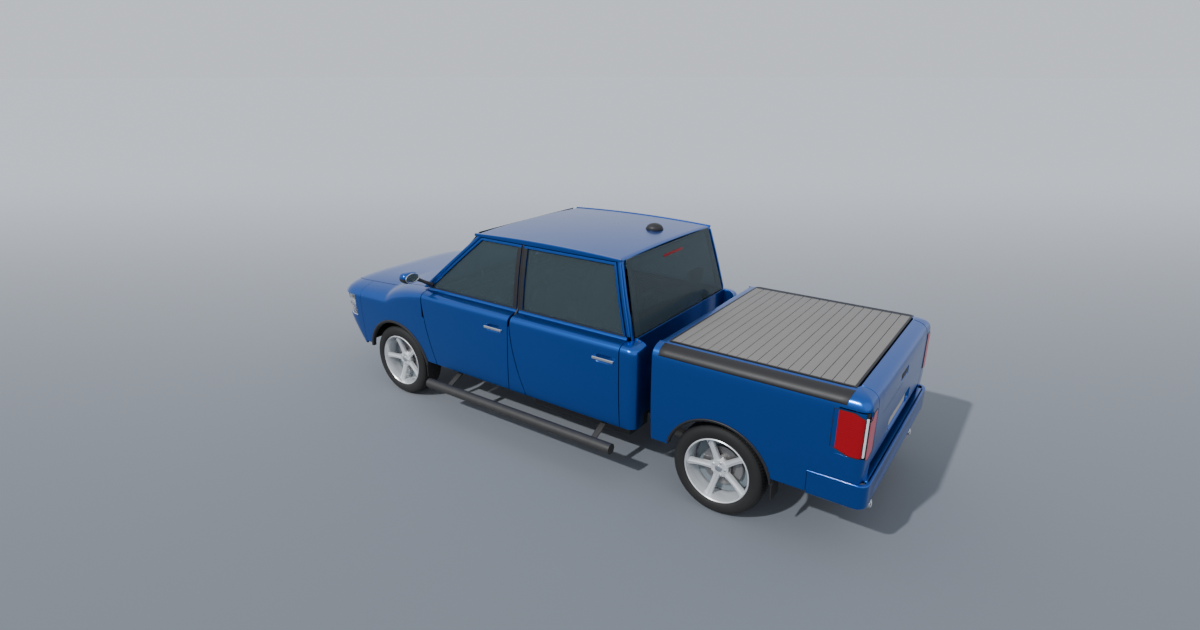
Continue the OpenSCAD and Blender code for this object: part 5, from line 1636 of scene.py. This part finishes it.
def seat(x, z, width, length, lean, high_back, cushion_z, bottom_z, bolster):
    """A seat's cushion and back, as two shapes."""
    base = moved(cushion(length, width, cushion_z - bottom_z, 0.020, (-0.1, 0.35), bolster),
                 (x + length / 2, 0, (cushion_z + bottom_z) / 2))
    back = cushion(high_back + 0.08, width - 0.006, 0.120, 0.018, (-0.2, 0.1, 0.4), bolster)
    back = moved(turned(back, "y", -90 - lean), (x + 0.005, 0, z + high_back / 2 - 0.02))
    back = moved(back, (-(high_back / 2) * math.sin(math.radians(lean)), 0, 0))
    return base, back


def headrest(x, z, lean, y):
    """A headrest on two posts."""
    pad = moved(turned(cushion(0.145, 0.250, 0.080, 0.010), "y", -90 - lean), (x, y, z))
    posts = [tube([(x + 0.014, y + dy, z - 0.12), (x, y + dy, z - 0.04)], 0.006, 12) for dy in (-0.05, 0.05)]
    return pad, join(posts)


SEAT_Y, BENCH_REST_Y = 0.415, 0.43
soft_pieces, posts = [], []
for side, s in SIDES:
    base, back = seat(0.380, 0.860, 0.528, 0.520, 14, 0.600, 0.850, 0.680, 0.022)
    rest, post = headrest(0.215, 1.535, 14, 0)
    for name, shape in (("seat_cushion", base), ("seat_back", back), ("headrest", rest)):
        soft_pieces.append(piece(f"{side}_{name}", moved(shape, (0, SEAT_Y * s, 0)), fabric, "chassis",
                                 ["seats"] if name == "seat_cushion" and s > 0 else (), crease=80))
    posts.append(moved(post, (0, SEAT_Y * s, 0)))
base, back = seat(-0.700, 0.860, 1.372, 0.500, 12, 0.560, 0.850, 0.700, 0.0)
for name, shape in (("bench_cushion", base), ("bench_back", back)):
    soft_pieces.append(piece(name, shape, fabric, "chassis", crease=80))
for side, s in SIDES:
    rest, post = headrest(-0.845, 1.500, 12, BENCH_REST_Y * s)
    soft_pieces.append(piece(f"{side}_bench_headrest", rest, fabric, "chassis", crease=80))
    posts.append(post)
piece("headrest_posts", join(posts), chrome, "chassis")
bases = join([rounded_box((0.400, y - 0.235, 0.562), (0.880, y + 0.235, 0.700), 0.02) for y in (-SEAT_Y, SEAT_Y)]
             + [rounded_box((-0.690, -0.660, 0.562), (-0.230, 0.660, 0.715), 0.02)])
piece("seat_bases", bases, cabin, "chassis", bevel=0)


# %% Dashboard and steering wheel
def dashboard():
    """The dashboard: one outline from the windscreen over a hooded top and down to the knees, carried across."""
    y = np.linspace(0.798, -0.798, 90)[:, None]
    outline = np.array([(1.318, 1.180), (1.316, 1.210), (1.290, 1.222), (1.200, 1.224), (1.130, 1.214), (1.098, 1.190),
                        (1.094, 1.150), (1.110, 1.100), (1.118, 1.040), (1.112, 0.990), (1.128, 0.930), (1.170, 0.885),
                        (1.240, 0.868), (1.310, 0.866), (1.318, 0.900)])
    hood = swell(y, outline[:, 1], 0.40, 1.21, 0.19, 0.06, 4) * (outline[:, 0] < 1.25)
    z = outline[:, 1] + 0.002 * hood
    middle = np.clip(1 - np.abs(y) / 0.17, 0, 1) ** 0.3 * (outline[:, 1] < 1.19) * (outline[:, 0] < 1.2)
    p = grid_of(outline[:, 0] + 0.004 * middle, y, z)
    rows, cols = p.shape[:2]
    caps = np.stack([np.arange(cols)[::-1], (rows - 1) * cols + np.arange(cols)])
    return p.reshape(-1, 3), [grid_faces(rows, cols, wrap_cols=True), caps]


console = rounded_box((0.760, -0.110, 0.684), (1.130, 0.110, 0.905), 0.02, 6)
vents = [rounded_box((1.0985, y - 0.06, 1.120), (1.106, y + 0.06, 1.165), 0.003) for y in (-0.70, -0.16, 0.16, 0.70)]
screen_panel = rounded_box((1.096, -0.115, 1.000), (1.125, 0.115, 1.105), 0.006)
dials = rounded_box((1.088, 0.29, 1.125), (1.10, 0.51, 1.195), 0.004)
lever = join([tube([(0.93, 0, 0.90), (0.915, 0, 0.975)], 0.008, 14),
              rounded_box((0.895, -0.020, 0.965), (0.935, 0.020, 1.015), 0.016, 6)])
piece("dashboard_skin", join([dashboard(), console]), cabin, "chassis", ["dashboard"], crease=28)
piece("dashboard_screens", join([screen_panel, dials] + vents), gloss_black, "chassis")
piece("gear_lever", lever, trim, "chassis")


def steering():
    """Steering wheel: a ring, three spokes and a pad, then leant back about its centre."""
    a = np.linspace(0, 2 * np.pi, 96, endpoint=False)
    ring = tube(grid_of(0.178 * np.cos(a), 0.178 * np.sin(a), 0.0), 0.0145, 20, closed=True)
    arm = rounded_box((0.03, -0.016, -0.007), (0.172, 0.016, 0.007), 0.006)
    arms = [turned(arm, "z", d) for d in (90, 180, 270)]
    pad = lathe([(0.0005, -0.018), (0.055, -0.018), (0.060, 0.0), (0.050, 0.012), (0.0005, 0.018)], (0, 0, 0), "z", 48)
    column = tube([(0, 0, 0.010), (0, 0, 0.175)], 0.024, 24)
    shape = join([ring, turned(pad, "x", 180)] + arms + [column])
    return moved(turned(shape, "y", 62), (0.880, 0.400, 1.080))


piece("steering_wheel_ring", steering(), trim, "chassis", ["steering_wheel"])


# %% [markdown]
# ## Everything underneath
# The chassis, floor and drive parts are plain castings and pressings. Their own solids are copied, welded and given
# rounded edges, which is what shows when the truck is seen from below.

# %% Floor pan, chassis and drive train
def rounded_copy(node, material, body, width=0.006, crease=30):
    """A copy of a CAD node's solid, welded, with its sharp edges rounded by a Bevel modifier."""
    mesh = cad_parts[node].data.copy()
    mesh.name = f"{node}_rounded"
    bm = bmesh.new()
    bm.from_mesh(mesh)
    bmesh.ops.remove_doubles(bm, verts=bm.verts, dist=1e-5)
    bmesh.ops.dissolve_limit(bm, angle_limit=math.radians(2), verts=bm.verts, edges=bm.edges)
    bmesh.ops.recalc_face_normals(bm, faces=bm.faces)
    bm.to_mesh(mesh)
    bm.free()
    mesh.materials.clear()
    mesh.materials.append(material)
    return placed_mesh(f"{node}_rounded", mesh, body, [node], width, crease)


for node, material, body, slot in (
        ("chassis_frame", frame_black, "chassis", "chassis_black"), ("engine_block", cast, "chassis", "cast_alloy"),
        ("cab_floor", carpet, "chassis", "floor_paint"), ("rear_axle", frame_black, "chassis", "chassis_black"),
        ("front_suspension", frame_black, "chassis", "chassis_black"),
        ("fuel_tank", trim, "chassis", "chassis_black"), ("left_knuckle", cast, "left_knuckle", "cast_alloy"),
        ("right_knuckle", cast, "right_knuckle", "cast_alloy")):
    rounded_copy(node, material, body)

print("CAD nodes still shown:", [n for n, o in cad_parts.items() if not o.hide_render])


# %% [markdown]
# ## Studio
# The floor is one large pale sheet. A sun-like lamp from the left and a little ahead throws the shadow to the
# truck's right, a weak and very wide one fills in from behind, and the sky fills in from above. The camera stands
# behind the truck's left rear corner, high up, and looks forward and down.

# %% Floor, lights and camera
# The floor's colour runs from a dark grey near the camera to a pale grey far off: painted shade near, painted light
# far.
NEAR_SHADE_GREY, FAR_LIGHT_GREY = (0.150, 0.167, 0.192), (0.49, 0.515, 0.55)
FLOOR_RADIUS = 400.0


def floor_material():
    """Pale floor: a painted shade near the camera that grades into a painted light far ahead, two greys mixed by
    distance ahead of the camera, with a slow cloud over them.
    """
    material = finish_of("Pale floor", NEAR_SHADE_GREY, NEAR_SHADE_GREY, 0.9, 0.02, patches=0.2)
    tree = material.node_tree
    shader = tree.nodes["Principled BSDF"]
    along = tree.nodes.new("ShaderNodeVectorMath")
    along.operation = "DOT_PRODUCT"
    along.inputs[1].default_value = (0.576, -0.8175, 0)
    tree.links.new(object_place(tree), along.inputs[0])
    share = tree.nodes.new("ShaderNodeMapRange")
    share.interpolation_type = "SMOOTHERSTEP"
    share.inputs["From Min"].default_value = -7.0
    share.inputs["From Max"].default_value = 19.0
    tree.links.new(along.outputs["Value"], share.inputs["Value"])
    tree.links.new(blend(tree, share.outputs["Result"], NEAR_SHADE_GREY, FAR_LIGHT_GREY), shader.inputs["Base Color"])
    return material


def stage():
    """A round floor at the ground, so wide that its edge is lost in the distance."""
    a = np.linspace(0, 2 * np.pi, 128, endpoint=False)
    ring = grid_of(FLOOR_RADIUS * np.cos(a), FLOOR_RADIUS * np.sin(a), 0.0)
    mesh = bpy.data.meshes.new("floor")
    mesh.from_pydata(ring.tolist(), [], [tuple(range(128))])
    obj = bpy.data.objects.new("floor", mesh)
    bpy.context.scene.collection.objects.link(obj)
    mesh.materials.append(floor_material())


def sun(name, energy, spread, source):
    """A sun lamp that shines from a direction, with its disc's width in degrees."""
    light = bpy.data.lights.new(name, "SUN")
    light.energy = energy
    light.angle = math.radians(spread)
    lamp = bpy.data.objects.new(name, light)
    lamp.rotation_euler = Vector(source).to_track_quat("Z", "Y").to_euler()
    bpy.context.scene.collection.objects.link(lamp)


stage()
sun("key", 3.0, 1.5, (0.28, 1.106, 1.0))
sun("fill", 0.55, 80, (-1.0, 0.35, 0.55))

world = bpy.data.worlds.new("sky")
bpy.context.scene.world = world
world.use_nodes = True
sky = world.node_tree
background = sky.nodes["Background"]
where = sky.nodes.new("ShaderNodeTexCoord")
split = sky.nodes.new("ShaderNodeSeparateXYZ")
ramp = sky.nodes.new("ShaderNodeValToRGB")
for stop, place, colour in zip(ramp.color_ramp.elements, (0.0, 0.9), ((0.79, 0.84, 0.92, 1), (0.80, 0.84, 0.92, 1))):
    stop.position, stop.color = place, colour
sky.links.new(where.outputs["Generated"], split.inputs["Vector"])
sky.links.new(split.outputs["Z"], ramp.inputs["Fac"])
sky.links.new(ramp.outputs["Color"], background.inputs["Color"])
background.inputs["Strength"].default_value = 0.9

camera = bpy.data.cameras.new("camera")
camera.sensor_width = 36
camera.lens = 20.27
camera.clip_end = 900
camera_object = bpy.data.objects.new("camera", camera)
camera_object.location = (-3.7446, 5.288, 3.3945)
camera_object.rotation_euler = tuple(math.radians(d) for d in (70.09, 0, -144.83))
bpy.context.scene.collection.objects.link(camera_object)
bpy.context.scene.camera = camera_object
